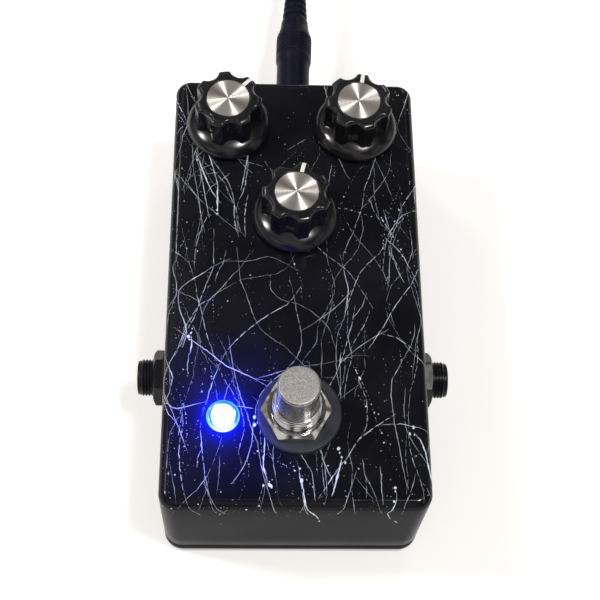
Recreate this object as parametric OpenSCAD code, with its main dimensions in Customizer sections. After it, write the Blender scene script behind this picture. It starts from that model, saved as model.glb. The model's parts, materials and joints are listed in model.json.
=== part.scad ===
// Guitar effects pedal with three controls, one footswitch and a status light.
// Millimetres, +Z up, front edge towards -Y. The origin is on the floor under the middle of the box.

/* [Enclosure] */
// Length from front to back, at the lid
case_len = 121; // [119:0.5:123]
// Width, at the lid
case_w = 66; // [65:0.5:70]
// Height, lid included, without the feet
case_h = 39.5; // [39:0.5:44]
// How far each wall leans in between the lid and the top
lean = 0.7; // [0:0.1:1]
// Corner radius seen from above
corner_r = 4.75; // [4.5:0.05:5.5]
// Radius of the rounded top edge
top_edge_r = 2.4; // [1:0.1:2.6]
// Wall thickness
wall = 2.2; // [2:0.1:2.4]
// Thickness of the top panel
top_t = 2.4; // [2:0.1:2.6]
// Height of the lid's edge
lid_h = 4; // [3.5:0.1:4.5]
// Height of the stick-on feet
foot_h = 2; // [1:0.5:3]

/* [Controls] */
// Distance of the two rear controls from the middle line
rear_knob_x = 17; // [16.5:0.1:18]
// How far the rear pair sits to the right of the middle line
rear_knob_shift = -0.7; // [-1:0.1:1]
// Distance of the two rear controls behind the middle
rear_knob_y = 44.6; // [44:0.1:45.5]
// Distance of the centre control behind the middle
center_knob_y = 17.2; // [16:0.1:18]
// Left pointer, degrees clockwise from straight back
left_pointer = 44; // [-150:1:150]
// Right pointer, degrees clockwise from straight back
right_pointer = 9; // [-150:1:150]
// Centre pointer, degrees clockwise from straight back
center_pointer = 13; // [-150:1:150]
// Diameter of a knob's skirt
skirt_d = 22.2; // [21:0.1:23]
// Diameter over a knob's grip lobes
grip_d = 17.6; // [17:0.1:18]
// Height of a knob's top above the panel
knob_top = 13.4; // [13:0.1:15]
// Number of grip lobes
lobes = 7; // [5:2:9]
// Diameter of the metal disc in a knob
insert_d = 11; // [9:0.1:11.4]

/* [Footswitch] */
// Distance of the footswitch in front of the middle
stomp_y = 36.7; // [36:0.1:37.5]
// Diameter of the button
button_d = 10; // [9:0.1:10.2]
// Height of the button's top above the panel
button_top = 19.5; // [16:0.1:22]
// How far the button goes down
stomp_travel = 3.5; // [2:0.1:4]

/* [Light] */
// Distance of the light left of the middle line
light_x = 17.5; // [17:0.1:20]
// Distance of the light in front of the middle
light_y = 37.5; // [35:0.1:42]
// Diameter of the light's bezel
bezel_d = 8; // [7.4:0.1:9]

/* [Sockets] */
// Distance of the audio jacks in front of the middle
jack_y = 20.3; // [20.1:0.1:20.5]
// Height of all three sockets above the lid's underside
socket_z = 20; // [19.5:0.1:20.5]
// Distance of an audio jack's mouth from the middle line
jack_end = 40.1; // [39.5:0.1:41]
// How far the power jack stands out behind the box
power_jack_out = 3; // [3:0.1:4]

/* [Power lead] */
// Diameter of the power lead
lead_d = 4; // [4:0.5:4]
// Mid-turn radius of the coiled part
coil_r = 22; // [22:1:22]
// Rise from one turn of the coil to the next
coil_pitch = 4.2; // [4.1:0.1:4.3]

/* [Hidden] */
$fn = 48;

// How far a cutter runs past what it cuts
cut = 1;
// Clearance round what passes through a drilled hole, and round a thread in its nut
hole_gap = 0.1;
nut_gap = 0.02;
// The power jack's overhang is shared out so that the origin stays under the middle of the box
case_shift = -power_jack_out / 2;
left_x = rear_knob_shift - rear_knob_x;
right_x = rear_knob_shift + rear_knob_x;
half_w = case_w / 2;
half_len = case_len / 2;
corner_x = half_w - corner_r;
corner_y = half_len - corner_r;
panel_in = case_h - top_t;
edge_steps = 6;

boss_r = 3.6;
boss_in = 5.4;
screw_r = 1.7;
screw_hole_r = 1.75;
screw_head_r = 3.1;
screw_head_h = 1.7;
screw_len = 12;
screw_gap = 0.05;
recess_w = 0.8;
recess_len = 3.2;
recess_depth = 1;
lid_floor = 2.4;
lid_edge_r = 0.8;
lid_boss_r = 3.8;
lip_notch_r = 4;
lip_gap = 0.3;
lip_t = 1.6;
lip_h = 1.5;
foot_r = 5.5;
foot_taper = 0.5;
foot_x = 20;
foot_y = 44;

bushing_r = 3.5;
shaft_r = 3;
running_gap = 0.05;
bore_gap = 0.03;
shaft_end_gap = 0.3;
pot_r = 8.1;
pot_depth = 9;
pot_back_t = 2;
// Square frame in front of the round can, and the wafer that carries the pins
frame_size = [14.8, 15.5, 2.2];
frame_y = -8.4;
wafer_size = [14, 6, 1.6];
wafer_y = -9.6;
wafer_top = 4.4;
pot_bushing_top = 4.2;
pot_washer_r = 5.6;
pot_washer_t = 0.6;
pot_nut_t = 2.3;
pot_nut_af = 10;
pin_spacing = 5;
pin_w = 1.2;
pin_t = 0.4;
pin_run = 3.2;
pin_y = -11.6;
pin_drop = 4.8;

knob_gap = 0.8;
skirt_h = 1.2;
skirt_edge = 0.4;
grip_z = 4.6;
grip_edge = 0.8;
// The flutes stop just above the foot of the grip
flute_z = grip_z + 0.15;
knob_hollow_r = 6.4;
knob_hollow_top = 5.2;
insert_t = 1.2;
insert_z = knob_top - insert_t;
flute_r = 3.2;
flute_depth = 1.5;
pointer_w = 1.1;
pointer_t = 0.5;
pointer_drop = 2;
set_screw_z = 7;
set_screw_r = 1.45;
set_screw_hole_r = 1.5;
set_screw_len = 3.6;
key_r = 0.8;
key_depth = 1.5;

stomp_bushing_r = 5.9;
stomp_bushing_top = 7.6;
stomp_collar_r = 5.45;
stomp_collar_top = 8.4;
collar_edge = 0.4;
stomp_box = 17;
stomp_box_h = 15;
stomp_drop = 3;
stomp_well_r = 5.6;
button_r = button_d / 2;
button_bevel = 0.5;
flange_r = 5.45;
flange_t = 1.6;
flange_gap = 0.2;
spring_block = 6.7;
stomp_well_h = flange_gap + flange_t + stomp_travel + spring_block;
stomp_washer_r = 10.3;
stomp_washer_t = 1;
// The plastic washer's loose hole lets it sit off centre
stomp_washer_hole_r = 6.85;
stomp_washer_shift = 0.8;
stomp_nut_af = 15;
stomp_nut_t = 3.2;
// Upper edge of the nut, [distance in from its corners, distance below its top]
nut_dome = [[0, 1.3], [0.5, 0.8], [1.3, 0.25], [2, 0]];
back_nut_t = 2.2;
lock_washer_r = 8.4;
lock_washer_t = 0.6;
lock_teeth = 12;
// Depth and width of the notch between two teeth of the lock washer
tooth_gap = [1, 0.7];
spring_r = 3.8;
spring_wire_r = 0.4;
spring_turns = 6;
spring_steps = 14;
lug_pitch = 4.7;
lug_size = [2, 0.7, 4.5];
lug_hole_r = 0.5;
lug_hole_z = 1.4;

bezel_hole_r = 3.2;
bezel_body_r = 3.1;
bezel_lip_t = 1;
bezel_edge = 0.4;
bezel_depth = 7;
bezel_nut_af = 8;
bezel_nut_t = 2;
lens_depth = 6;
led_r = 2.5;
led_dome_z = 2.4;

thread_r = 4.75;
thread_hole_r = 4.9;
jack_bore_r = 3.25;
jack_bore_len = 31;
jack_box_len = 24;
jack_box_w = 14;
jack_box_h = 12;
wall_gap = 0.5;
// Where an audio jack's washer meets the leaning wall
jack_seat = half_w - lean / 4;
contact_x = [10, 16, 22];
contact_w = 1.8;
contact_t = 0.5;
contact_h = 4;
contact_fold = 1.6;
jack_washer_r = 7.15;
jack_washer_t = 1;
jack_nut_af = 12.7;
jack_nut_t = 2.4;
power_thread_r = 5.8;
power_hole_r = 5.9;
power_bore_r = 2.85;
power_bore_len = 11;
power_pin_r = 1;
power_body_r = 6.8;
power_body_len = 14;
power_lug = [2, 0.4, 5];
power_lug_r = 3.4;
power_nut_af = 14;
power_nut_t = 2.2;

board_w = 52;
board_len = 46;
board_t = 1.6;
board_z = 20;
board_y = 15;
board_hole_in = 3;
board_hole_r = 1.6;
chip_x = 9;
chip_y = -4;
chip_size = [6.4, 9.8, 3.3];
chip_lift = 0.6;
leg_x = 3.65;
leg_pitch = 2.54;
leg_size = [0.5, 0.6, 2.6];
// Round capacitors on the board, [x, y, radius, height]
round_caps = [[-20, 14, 3.2, 7], [-20, 5, 2.6, 8], [20, 12, 2.6, 8], [0, 16, 2.6, 7]];
film_caps = [[-18, -6], [18, -6], [-9, 6], [9, 6], [0, -14]];
film_size = [7.2, 2.6, 5.5];
film_lift = 0.3;
resistor_x = -21;
resistor_y = -19.5;
resistor_z = 1.3;
resistor_pitch = 6;
resistor_r = 1.15;
resistor_len = 5;
resistor_lead = 0.7;
resistor_lead_r = 0.3;
diode_x = -13;
diode_y = 11;
diode_pitch = 8.6;
diode_r = 0.9;
diode_len = 3.8;
diode_lead = 1.1;
diode_lead_r = 0.25;
hookup_r = 0.7;
led_wire_r = 0.6;
wire_sides = 6;
wire_steps = 3;

barrel_r = 2.75;
barrel_bore_r = 1.1;
barrel_len = 9.5;
barrel_end_t = 0.5;
plug_gap = 0.2;
barrel_gap = 0.1;
plug_lean = 1.8;
plug_len = 46.3;
plug_y = half_len + power_jack_out + plug_gap;
// Outline of a plug from its face to the end of its strain relief, [distance, radius]
plug_outline = [
    [0, 4.3], [0.6, 4.8], [15, 4.8], [16.5, 5.25], [23.5, 5.25], [27, 4.2], [32, 3.7],
    [33, 3.5], [plug_len, 2.7]
];

// Hand-laid route of the power lead from the plug's strain relief to the coil
lead_route = [
    [1.46, 108.5, 22], [1.7, 114, 21.9], [2, 120, 21.4], [2.3, 127, 20.5], [2.5, 134, 19.6],
    [2.5, 141, 18.8], [2.5, 147, 18.2], [2.5, 153, 17.8]
];
coil_center = [-19.5, 152];
coil_turns = 3.75;
coil_h = coil_turns * coil_pitch + lead_d;
// Hand-laid route from the foot of the coil to the far plug
tail_route = [
    [-19.5, 130, 2], [-12, 130, 2], [-4, 130, 2], [4, 130, 2], [9, 130.6, 2], [13.5, 132.7, 2.2],
    [17.5, 136, 2.6], [20.2, 140, 3.2], [21.6, 144.5, 4], [22, 149, 4.8], [22, 153.75, 5.3]
];
far_plug_pos = [22, 154 + plug_len, 5.3];
tie_w = 8;
tie_t = 0.9;
tie_gap = 0.3;
tie_bite = 0.55;

// Hexagon size across the corners from its size across the flats
function hex_r(flats) = flats / 2 / cos(30);
// Half-size of the outer wall at a height, measured from the corner centre
function lean_r(z) = corner_r - lean * z / case_h;
function unit(v) = v / norm(v);
function tangent(p, i) = unit(p[min(i + 1, len(p) - 1)] - p[max(i - 1, 0)]);
function carried(n, t) = unit(n - (n * t) * t);
// One normal per point, each turned as little as possible from the one before it
function normals(p, n, i = 0) =
    i == len(p) ? [] : let(m = carried(n, tangent(p, i))) concat([m], normals(p, m, i + 1));
function ring(c, t, n, r, sides) =
    [for (k = [0:sides - 1]) c + r * (cos(360 * k / sides) * n + sin(360 * k / sides) * cross(t, n))];
// A smooth curve through hand-placed points, in a few steps between each two
function between(a, b, c, d, t) =
    ((2 * b) + (c - a) * t + (2 * a - 5 * b + 4 * c - d) * t * t
    + (3 * b - a - 3 * c + d) * t * t * t) / 2;
function smooth(p, steps) = concat(
    [for (i = [0:len(p) - 2], s = [0:steps - 1])
        between(p[max(i - 1, 0)], p[i], p[i + 1], p[min(i + 2, len(p) - 1)], s / steps)],
    [p[len(p) - 1]]);

// Round tube swept along a list of points
module tube(points, r, sides = 8) {
    n = normals(points, unit(cross(tangent(points, 0), [0.2, 0.3, 0.9])));
    count = len(points);
    rings = [for (i = [0:count - 1]) each ring(points[i], tangent(points, i), n[i], r, sides)];
    walls = [for (i = [0:count - 2], k = [0:sides - 1])
        [i * sides + k, (i + 1) * sides + k, (i + 1) * sides + (k + 1) % sides, i * sides + (k + 1) % sides]];
    first_end = [for (k = [0:sides - 1]) k];
    last_end = [for (k = [sides - 1:-1:0]) (count - 1) * sides + k];
    polyhedron(points = rings, faces = concat([first_end], walls, [last_end]), convexity = 6);
}

// Places what is drawn in the enclosure's own frame, whose floor is the lid's underside
module in_case() {
    translate([0, case_shift, foot_h]) children();
}

module ring_shape(outer, inner, h) {
    difference() {
        cylinder(r = outer, h = h);
        translate([0, 0, -cut]) cylinder(r = inner, h = h + 2 * cut);
    }
}

module hex_nut(flats, bore, h) {
    difference() {
        cylinder(r = hex_r(flats), h = h, $fn = 6);
        translate([0, 0, -cut]) cylinder(r = bore, h = h + 2 * cut);
    }
}

// Block with round corners whose wall follows [radius from the corner centre, z] points, bottom up
module rounded_block(cx, cy, side) {
    rows = len(side);
    cross_x = concat([for (s = side) [cx + s[0], s[1]]],
        [for (i = [rows - 1:-1:0]) [-cx - side[i][0], side[i][1]]]);
    end_y = concat([for (s = side) [s[0], s[1]]], [[0, side[rows - 1][1]], [0, side[0][1]]]);
    rotate([90, 0, 0]) linear_extrude(2 * cy, center = true) polygon(cross_x);
    for (turn = [0, 180]) rotate(turn) {
        translate([0, cy, 0]) rotate([90, 0, 90]) linear_extrude(2 * cx, center = true) polygon(end_y);
        translate([cx, cy, 0]) rotate_extrude(angle = 90) polygon(end_y);
        translate([-cx, cy, 0]) rotate(90) rotate_extrude(angle = 90) polygon(end_y);
    }
}

module at_corners(x, y) {
    for (sx = [-1, 1], sy = [-1, 1]) translate([sx * x, sy * y, 0]) children();
}

module panel_hole(r) {
    translate([0, 0, panel_in - cut]) cylinder(r = r, h = top_t + 2 * cut);
}

// Places what is drawn at the four screw bosses
module at_bosses() {
    at_corners(half_w - boss_in, half_len - boss_in) children();
}

module enclosure_body() {
    top_r = lean_r(case_h) - top_edge_r;
    outside = concat([[lean_r(lid_h), lid_h]],
        [for (k = [0:edge_steps])
            [top_r + top_edge_r * cos(90 * k / edge_steps),
            case_h - top_edge_r + top_edge_r * sin(90 * k / edge_steps)]]);
    inside = [[lean_r(0) - wall, lid_h - cut], [lean_r(panel_in) - wall, panel_in]];
    color([0.02, 0.02, 0.025]) in_case() difference() {
        union() {
            difference() {
                rounded_block(corner_x, corner_y, outside);
                rounded_block(corner_x, corner_y, inside);
            }
            intersection() {
                at_bosses()
                    translate([0, 0, lid_h]) cylinder(r = boss_r, h = panel_in - lid_h + cut);
                rounded_block(corner_x, corner_y, outside);
            }
        }
        at_bosses()
            translate([0, 0, lid_h - cut]) cylinder(r = screw_hole_r, h = screw_len);
        at_pots() panel_hole(bushing_r + hole_gap);
        translate([0, -stomp_y, 0]) panel_hole(stomp_bushing_r + hole_gap);
        translate([-light_x, -light_y, 0]) panel_hole(bezel_hole_r);
        translate([0, -jack_y, socket_z]) rotate([0, 90, 0])
            cylinder(r = thread_hole_r, h = 2 * jack_end, center = true);
        translate([0, half_len + cut, socket_z]) rotate([90, 0, 0])
            cylinder(r = power_hole_r, h = 2 * wall + 2 * cut);
    }
}

module bottom_lid() {
    side = lean_r(0);
    bevel = lid_edge_r * (1 - cos(45));
    edge = [[side - lid_edge_r, 0], [side - bevel, bevel], [side, lid_edge_r], [side, lid_h]];
    pocket = [[side - wall, lid_floor], [side - wall, lid_h + cut]];
    lip_r = side - wall - lip_gap;
    lip = [[lip_r, lid_floor], [lip_r, lid_h + lip_h]];
    lip_in = [[lip_r - lip_t, lid_floor], [lip_r - lip_t, lid_h + lip_h + cut]];
    color([0.03, 0.03, 0.035]) in_case() difference() {
        union() {
            difference() {
                rounded_block(corner_x, corner_y, edge);
                rounded_block(corner_x, corner_y, pocket);
            }
            difference() {
                rounded_block(corner_x, corner_y, lip);
                rounded_block(corner_x, corner_y, lip_in);
                at_bosses() cylinder(r = lip_notch_r, h = lid_h + lip_h + cut);
            }
            intersection() {
                at_bosses() cylinder(r = lid_boss_r, h = lid_h);
                rounded_block(corner_x, corner_y, edge);
            }
        }
        at_bosses() {
            translate([0, 0, -cut]) cylinder(r = screw_hole_r, h = lid_h + 2 * cut);
            translate([0, 0, -nut_gap])
                cylinder(r1 = screw_head_r + hole_gap, r2 = screw_r + hole_gap, h = screw_head_h);
        }
    }
}

module lid_screws() {
    color("silver") in_case() at_bosses() difference() {
        union() {
            translate([0, 0, screw_gap])
                cylinder(r1 = screw_head_r, r2 = screw_r, h = screw_head_h - 2 * screw_gap);
            translate([0, 0, screw_head_h / 2]) cylinder(r = screw_r, h = screw_len);
        }
        for (turn = [45, 135]) rotate(turn) cube([recess_w, recess_len, 2 * recess_depth], center = true);
    }
}

module rubber_feet() {
    color([0.08, 0.08, 0.08]) in_case() at_corners(foot_x, foot_y)
        translate([0, 0, -foot_h]) cylinder(r1 = foot_r - foot_taper, r2 = foot_r, h = foot_h);
}

// Places what is drawn at each of the three controls
module at_pots() {
    translate([left_x, rear_knob_y, 0]) children();
    translate([right_x, rear_knob_y, 0]) children();
    translate([0, center_knob_y, 0]) children();
}

module pot_housing(x, y) {
    color([0.62, 0.6, 0.55]) in_case() translate([x, y, panel_in]) difference() {
        union() {
            translate([0, 0, -pot_depth]) cylinder(r = pot_r, h = pot_depth - frame_size[2] / 2);
            translate([-frame_size[0] / 2, frame_y, -frame_size[2]]) cube(frame_size);
            translate([-wafer_size[0] / 2, wafer_y, -wafer_top]) cube(wafer_size);
            cylinder(r = bushing_r, h = top_t + pot_bushing_top);
        }
        translate([0, 0, -pot_depth + pot_back_t]) cylinder(r = shaft_r + running_gap, h = 2 * pot_depth);
    }
}

module pot_shaft(x, y) {
    foot = pot_depth - pot_back_t - shaft_end_gap;
    color("silver") in_case() translate([x, y, panel_in - foot])
        cylinder(r = shaft_r, h = foot + top_t + insert_z - shaft_end_gap);
}

module pot_left_housing() pot_housing(left_x, rear_knob_y);
module pot_right_housing() pot_housing(right_x, rear_knob_y);
module pot_center_housing() pot_housing(0, center_knob_y);
module pot_left_shaft() pot_shaft(left_x, rear_knob_y);
module pot_right_shaft() pot_shaft(right_x, rear_knob_y);
module pot_center_shaft() pot_shaft(0, center_knob_y);

module pot_nuts() {
    color("silver") in_case() at_pots() translate([0, 0, case_h + pot_washer_t])
        hex_nut(pot_nut_af, bushing_r + nut_gap, pot_nut_t);
}

module pot_washers() {
    color("silver") in_case() at_pots() translate([0, 0, case_h])
        ring_shape(pot_washer_r, bushing_r + hole_gap, pot_washer_t);
}

// Bent pins that carry each control down to the circuit board
module pot_terminals() {
    foot = board_z + board_t;
    length = panel_in - pin_drop - foot;
    color([0.75, 0.72, 0.6]) in_case() at_pots() for (k = [-1:1])
        translate([k * pin_spacing - pin_w / 2, pin_y, foot]) {
            translate([0, 0, length]) cube([pin_w, pin_run, pin_t]);
            cube([pin_w, pin_t, length]);
        }
}

module knob_at(x, y, pointer) {
    in_case() translate([x, y, case_h]) rotate(90 - pointer) children();
}

// Bell-shaped skirt under a fluted grip, with room below for the nut and a blind bore for the shaft
module knob_cap(x, y, pointer) {
    skirt_r = skirt_d / 2;
    grip_r = grip_d / 2;
    rim_top = knob_gap + skirt_h;
    edge_cut = grip_edge * (1 - cos(45));
    outline = [
        [0, knob_gap], [skirt_r - skirt_edge, knob_gap], [skirt_r, knob_gap + skirt_edge],
        [skirt_r, rim_top], [skirt_r - skirt_edge, rim_top + skirt_edge],
        [grip_r + 3 * skirt_edge, rim_top + 2 * skirt_edge], [grip_r + skirt_edge, grip_z - 2 * skirt_edge],
        [grip_r + skirt_edge / 4, grip_z], [grip_r, knob_top - grip_edge],
        [grip_r - edge_cut, knob_top - edge_cut], [grip_r - grip_edge, knob_top], [0, knob_top]
    ];
    color([0.03, 0.03, 0.035]) knob_at(x, y, pointer) difference() {
        rotate_extrude() polygon(outline);
        for (k = [0:lobes - 1]) rotate(360 * (k + 0.5) / lobes)
            translate([grip_r - flute_depth + flute_r, 0, flute_z]) cylinder(r = flute_r, h = knob_top);
        translate([0, 0, -cut]) {
            cylinder(r = knob_hollow_r, h = knob_hollow_top + cut);
            cylinder(r = shaft_r + bore_gap, h = insert_z + cut - shaft_end_gap);
        }
        translate([0, 0, insert_z]) cylinder(r = insert_d / 2, h = insert_t + cut);
        translate([insert_d / 2 - cut / 10, -pointer_w / 2, knob_top - pointer_t])
            cube([grip_r, pointer_w, pointer_t + cut]);
        translate([grip_r - pointer_t, -pointer_w / 2, knob_top - pointer_drop])
            cube([grip_r, pointer_w, pointer_drop + cut]);
        translate([0, 0, set_screw_z]) rotate([0, -90, 0]) cylinder(r = set_screw_hole_r, h = skirt_r);
    }
}

module knob_insert(x, y, pointer) {
    color([0.85, 0.85, 0.83]) knob_at(x, y, pointer) translate([0, 0, insert_z])
        cylinder(r = insert_d / 2, h = insert_t);
}

module knob_pointer(x, y, pointer) {
    grip_r = grip_d / 2;
    color("white") knob_at(x, y, pointer) difference() {
        intersection() {
            union() {
                translate([0, 0, knob_top - pointer_drop]) cylinder(r = grip_r, h = pointer_drop - grip_edge);
                translate([0, 0, knob_top - grip_edge])
                    cylinder(r1 = grip_r, r2 = grip_r - grip_edge, h = grip_edge);
            }
            translate([0, -pointer_w / 2, 0]) cube([grip_r, pointer_w, knob_top]);
        }
        translate([0, -pointer_w, 0]) cube([grip_r - pointer_t, 2 * pointer_w, knob_top - pointer_t]);
        cylinder(r = insert_d / 2, h = knob_top + cut);
    }
}

module knob_set_screw(x, y, pointer) {
    color([0.3, 0.3, 0.32]) knob_at(x, y, pointer) translate([-shaft_r - hole_gap, 0, set_screw_z])
        rotate([0, -90, 0]) difference() {
            cylinder(r = set_screw_r, h = set_screw_len);
            translate([0, 0, set_screw_len - key_depth]) cylinder(r = key_r, h = key_depth + cut, $fn = 6);
        }
}

module knob_left_cap() knob_cap(left_x, rear_knob_y, left_pointer);
module knob_left_insert() knob_insert(left_x, rear_knob_y, left_pointer);
module knob_left_pointer() knob_pointer(left_x, rear_knob_y, left_pointer);
module knob_left_set_screw() knob_set_screw(left_x, rear_knob_y, left_pointer);
module knob_right_cap() knob_cap(right_x, rear_knob_y, right_pointer);
module knob_right_insert() knob_insert(right_x, rear_knob_y, right_pointer);
module knob_right_pointer() knob_pointer(right_x, rear_knob_y, right_pointer);
module knob_right_set_screw() knob_set_screw(right_x, rear_knob_y, right_pointer);
module knob_center_cap() knob_cap(0, center_knob_y, center_pointer);
module knob_center_insert() knob_insert(0, center_knob_y, center_pointer);
module knob_center_pointer() knob_pointer(0, center_knob_y, center_pointer);
module knob_center_set_screw() knob_set_screw(0, center_knob_y, center_pointer);

// Places what is drawn on the footswitch axis, at a height above the lid's underside
module at_stomp(z) {
    in_case() translate([0, -stomp_y, z]) children();
}

module footswitch_housing() {
    color([0.25, 0.3, 0.45]) at_stomp(panel_in - stomp_drop - stomp_box_h) difference() {
        translate([-stomp_box / 2, -stomp_box / 2, 0]) cube([stomp_box, stomp_box, stomp_box_h]);
        translate([0, 0, stomp_box_h - stomp_well_h]) cylinder(r = stomp_well_r, h = stomp_well_h + cut);
    }
}

module footswitch_bushing() {
    tube_h = stomp_drop + top_t + stomp_bushing_top;
    color("silver") at_stomp(panel_in - stomp_drop) difference() {
        union() {
            cylinder(r = stomp_bushing_r, h = tube_h - collar_edge);
            translate([0, 0, tube_h - collar_edge])
                cylinder(r1 = stomp_bushing_r, r2 = stomp_collar_r, h = collar_edge);
            cylinder(r = stomp_collar_r, h = tube_h + stomp_collar_top - stomp_bushing_top);
        }
        translate([0, 0, -cut]) cylinder(r = button_r + running_gap, h = 2 * tube_h);
    }
}

module footswitch_button() {
    flange_z = panel_in - stomp_drop - flange_gap - flange_t;
    color([0.8, 0.8, 0.8]) at_stomp(flange_z) {
        cylinder(r = flange_r, h = flange_t);
        cylinder(r = button_r, h = case_h + button_top - flange_z - button_bevel);
        translate([0, 0, case_h + button_top - flange_z - button_bevel])
            cylinder(r1 = button_r, r2 = button_r - button_bevel, h = button_bevel);
    }
}

module footswitch_spring() {
    foot = panel_in - stomp_drop - stomp_well_h;
    height = stomp_well_h - flange_gap - flange_t - 2 * spring_wire_r;
    coil = [for (k = [0:spring_turns * spring_steps])
        [spring_r * cos(360 * k / spring_steps), spring_r * sin(360 * k / spring_steps),
        height * k / (spring_turns * spring_steps)]];
    color("silver") at_stomp(foot + spring_wire_r) tube(coil, spring_wire_r - nut_gap, wire_sides);
}

// Hexagon nut with a domed upper edge
module footswitch_top_nut() {
    corner = hex_r(stomp_nut_af);
    dome = [for (p = nut_dome) [corner - p[0], stomp_nut_t - p[1]]];
    color("silver") at_stomp(case_h + stomp_washer_t) intersection() {
        hex_nut(stomp_nut_af, stomp_bushing_r + nut_gap, stomp_nut_t);
        rotate_extrude() polygon(concat([[0, 0], [corner, 0]], dome, [[0, stomp_nut_t]]));
    }
}

module footswitch_back_nut() {
    color("silver") at_stomp(panel_in - lock_washer_t - back_nut_t)
        hex_nut(stomp_nut_af, stomp_bushing_r + nut_gap, back_nut_t);
}

module footswitch_washer() {
    color([0.16, 0.17, 0.2]) at_stomp(case_h) translate([stomp_washer_shift, 0, 0])
        ring_shape(stomp_washer_r, stomp_washer_hole_r, stomp_washer_t);
}

module footswitch_lock_washer() {
    color("silver") at_stomp(panel_in - lock_washer_t) difference() {
        ring_shape(lock_washer_r, stomp_bushing_r + hole_gap, lock_washer_t);
        for (k = [1:lock_teeth]) rotate(360 * k / lock_teeth) translate([lock_washer_r, 0, 0])
            cube([2 * tooth_gap[0], tooth_gap[1], 2 * cut], center = true);
    }
}

module footswitch_lugs() {
    color([0.8, 0.75, 0.6]) at_stomp(panel_in - stomp_drop - stomp_box_h) for (i = [-1:1], j = [-1:1])
        translate([i * lug_pitch - lug_size[0] / 2, j * lug_pitch - lug_size[1] / 2, -lug_size[2]])
            difference() {
                cube(lug_size);
                translate([lug_size[0] / 2, -cut, lug_hole_z]) rotate([-90, 0, 0])
                    cylinder(r = lug_hole_r, h = lug_size[1] + 2 * cut, $fn = 16);
            }
}

module at_light(z) {
    in_case() translate([-light_x, -light_y, z]) children();
}

module led_bezel() {
    inner = led_r + hole_gap;
    outer = bezel_d / 2;
    lip = [
        [inner, 0], [outer, 0], [outer, bezel_edge], [outer - bezel_edge, bezel_lip_t - bezel_edge / 2],
        [outer - 2 * bezel_edge, bezel_lip_t], [inner + bezel_edge, bezel_lip_t],
        [inner, bezel_lip_t - bezel_edge]
    ];
    color([0.8, 0.8, 0.82]) at_light(case_h) {
        rotate_extrude() polygon(lip);
        translate([0, 0, -bezel_depth]) ring_shape(bezel_body_r, inner, bezel_depth);
        translate([0, 0, -top_t - bezel_nut_t - hole_gap])
            hex_nut(bezel_nut_af, bezel_body_r + nut_gap, bezel_nut_t);
    }
}

module led_lens() {
    color([0.35, 0.65, 1]) at_light(case_h) {
        translate([0, 0, -lens_depth]) cylinder(r = led_r, h = lens_depth + led_dome_z - led_r);
        translate([0, 0, led_dome_z - led_r]) sphere(r = led_r);
    }
}

// Jack body drawn with its mouth towards +X and its axis through the origin
module jack_body() {
    wall_in = half_w - wall - wall_gap;
    difference() {
        union() {
            translate([wall_in - jack_box_len, -jack_box_w / 2, -jack_box_h / 2])
                cube([jack_box_len, jack_box_w, jack_box_h]);
            rotate([0, 90, 0]) cylinder(r = thread_r, h = jack_end);
        }
        translate([jack_end - jack_bore_len, 0, 0]) rotate([0, 90, 0])
            cylinder(r = jack_bore_r, h = jack_bore_len + cut);
    }
}

module at_jack(side) {
    in_case() translate([0, -jack_y, socket_z]) rotate(side > 0 ? 0 : 180) children();
}

module jack_in_body() color([0.06, 0.06, 0.06]) at_jack(1) jack_body();
module jack_out_body() color([0.06, 0.06, 0.06]) at_jack(-1) jack_body();

module jack_washers() {
    color([0.12, 0.12, 0.12]) for (side = [-1, 1]) at_jack(side)
        translate([jack_seat, 0, 0]) rotate([0, 90, 0])
            ring_shape(jack_washer_r, thread_r + hole_gap, jack_washer_t);
}

module jack_nuts() {
    color([0.08, 0.08, 0.08]) for (side = [-1, 1]) at_jack(side)
        translate([jack_seat + jack_washer_t, 0, 0]) rotate([0, 90, 0])
            hex_nut(jack_nut_af, thread_r + nut_gap, jack_nut_t);
}

// Three solder lugs on the top of each jack, bent towards the front
module jack_contacts() {
    color([0.8, 0.78, 0.7]) for (side = [-1, 1]) at_jack(side) for (x = contact_x)
        translate([x, -contact_w / 2, jack_box_h / 2]) {
            cube([contact_t, contact_w, contact_h]);
            translate([-contact_fold, 0, contact_h - contact_t]) cube([contact_fold, contact_w, contact_t]);
        }
}

// Places what is drawn on the power jack's axis, with +Z of the drawing pointing backwards
module at_power(y) {
    in_case() translate([0, y, socket_z]) rotate([-90, 0, 0]) children();
}

module dc_jack_body() {
    wall_in = half_len - wall - wall_gap;
    mouth = half_len + power_jack_out;
    color([0.06, 0.06, 0.06]) at_power(0) difference() {
        union() {
            translate([0, 0, wall_in - power_body_len]) cylinder(r = power_body_r, h = power_body_len);
            translate([0, 0, wall_in - cut]) cylinder(r = power_thread_r, h = mouth - wall_in + cut);
        }
        translate([0, 0, mouth - power_bore_len]) cylinder(r = power_bore_r, h = power_bore_len + cut);
    }
}

module dc_jack_nut() {
    color([0.1, 0.1, 0.1]) at_power(half_len - lean / 4)
        hex_nut(power_nut_af, power_thread_r + nut_gap, power_nut_t);
}

// Centre pin in the socket and three solder lugs behind it
module dc_jack_contacts() {
    back = half_len - wall - wall_gap - power_body_len;
    floor_y = half_len + power_jack_out - power_bore_len;
    color("silver") at_power(0) {
        translate([0, 0, floor_y]) cylinder(r = power_pin_r, h = power_bore_len - cut);
        for (turn = [0:2]) rotate(120 * turn)
            translate([-power_lug[0] / 2, power_lug_r, back - power_lug[2]]) cube(power_lug);
    }
}

module main_pcb() {
    color([0.05, 0.3, 0.15]) in_case() translate([0, board_y, board_z]) difference() {
        translate([-board_w / 2, -board_len / 2, 0]) cube([board_w, board_len, board_t]);
        at_corners(board_w / 2 - board_hole_in, board_len / 2 - board_hole_in)
            translate([0, 0, -cut]) cylinder(r = board_hole_r, h = board_t + 2 * cut);
    }
}

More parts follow.
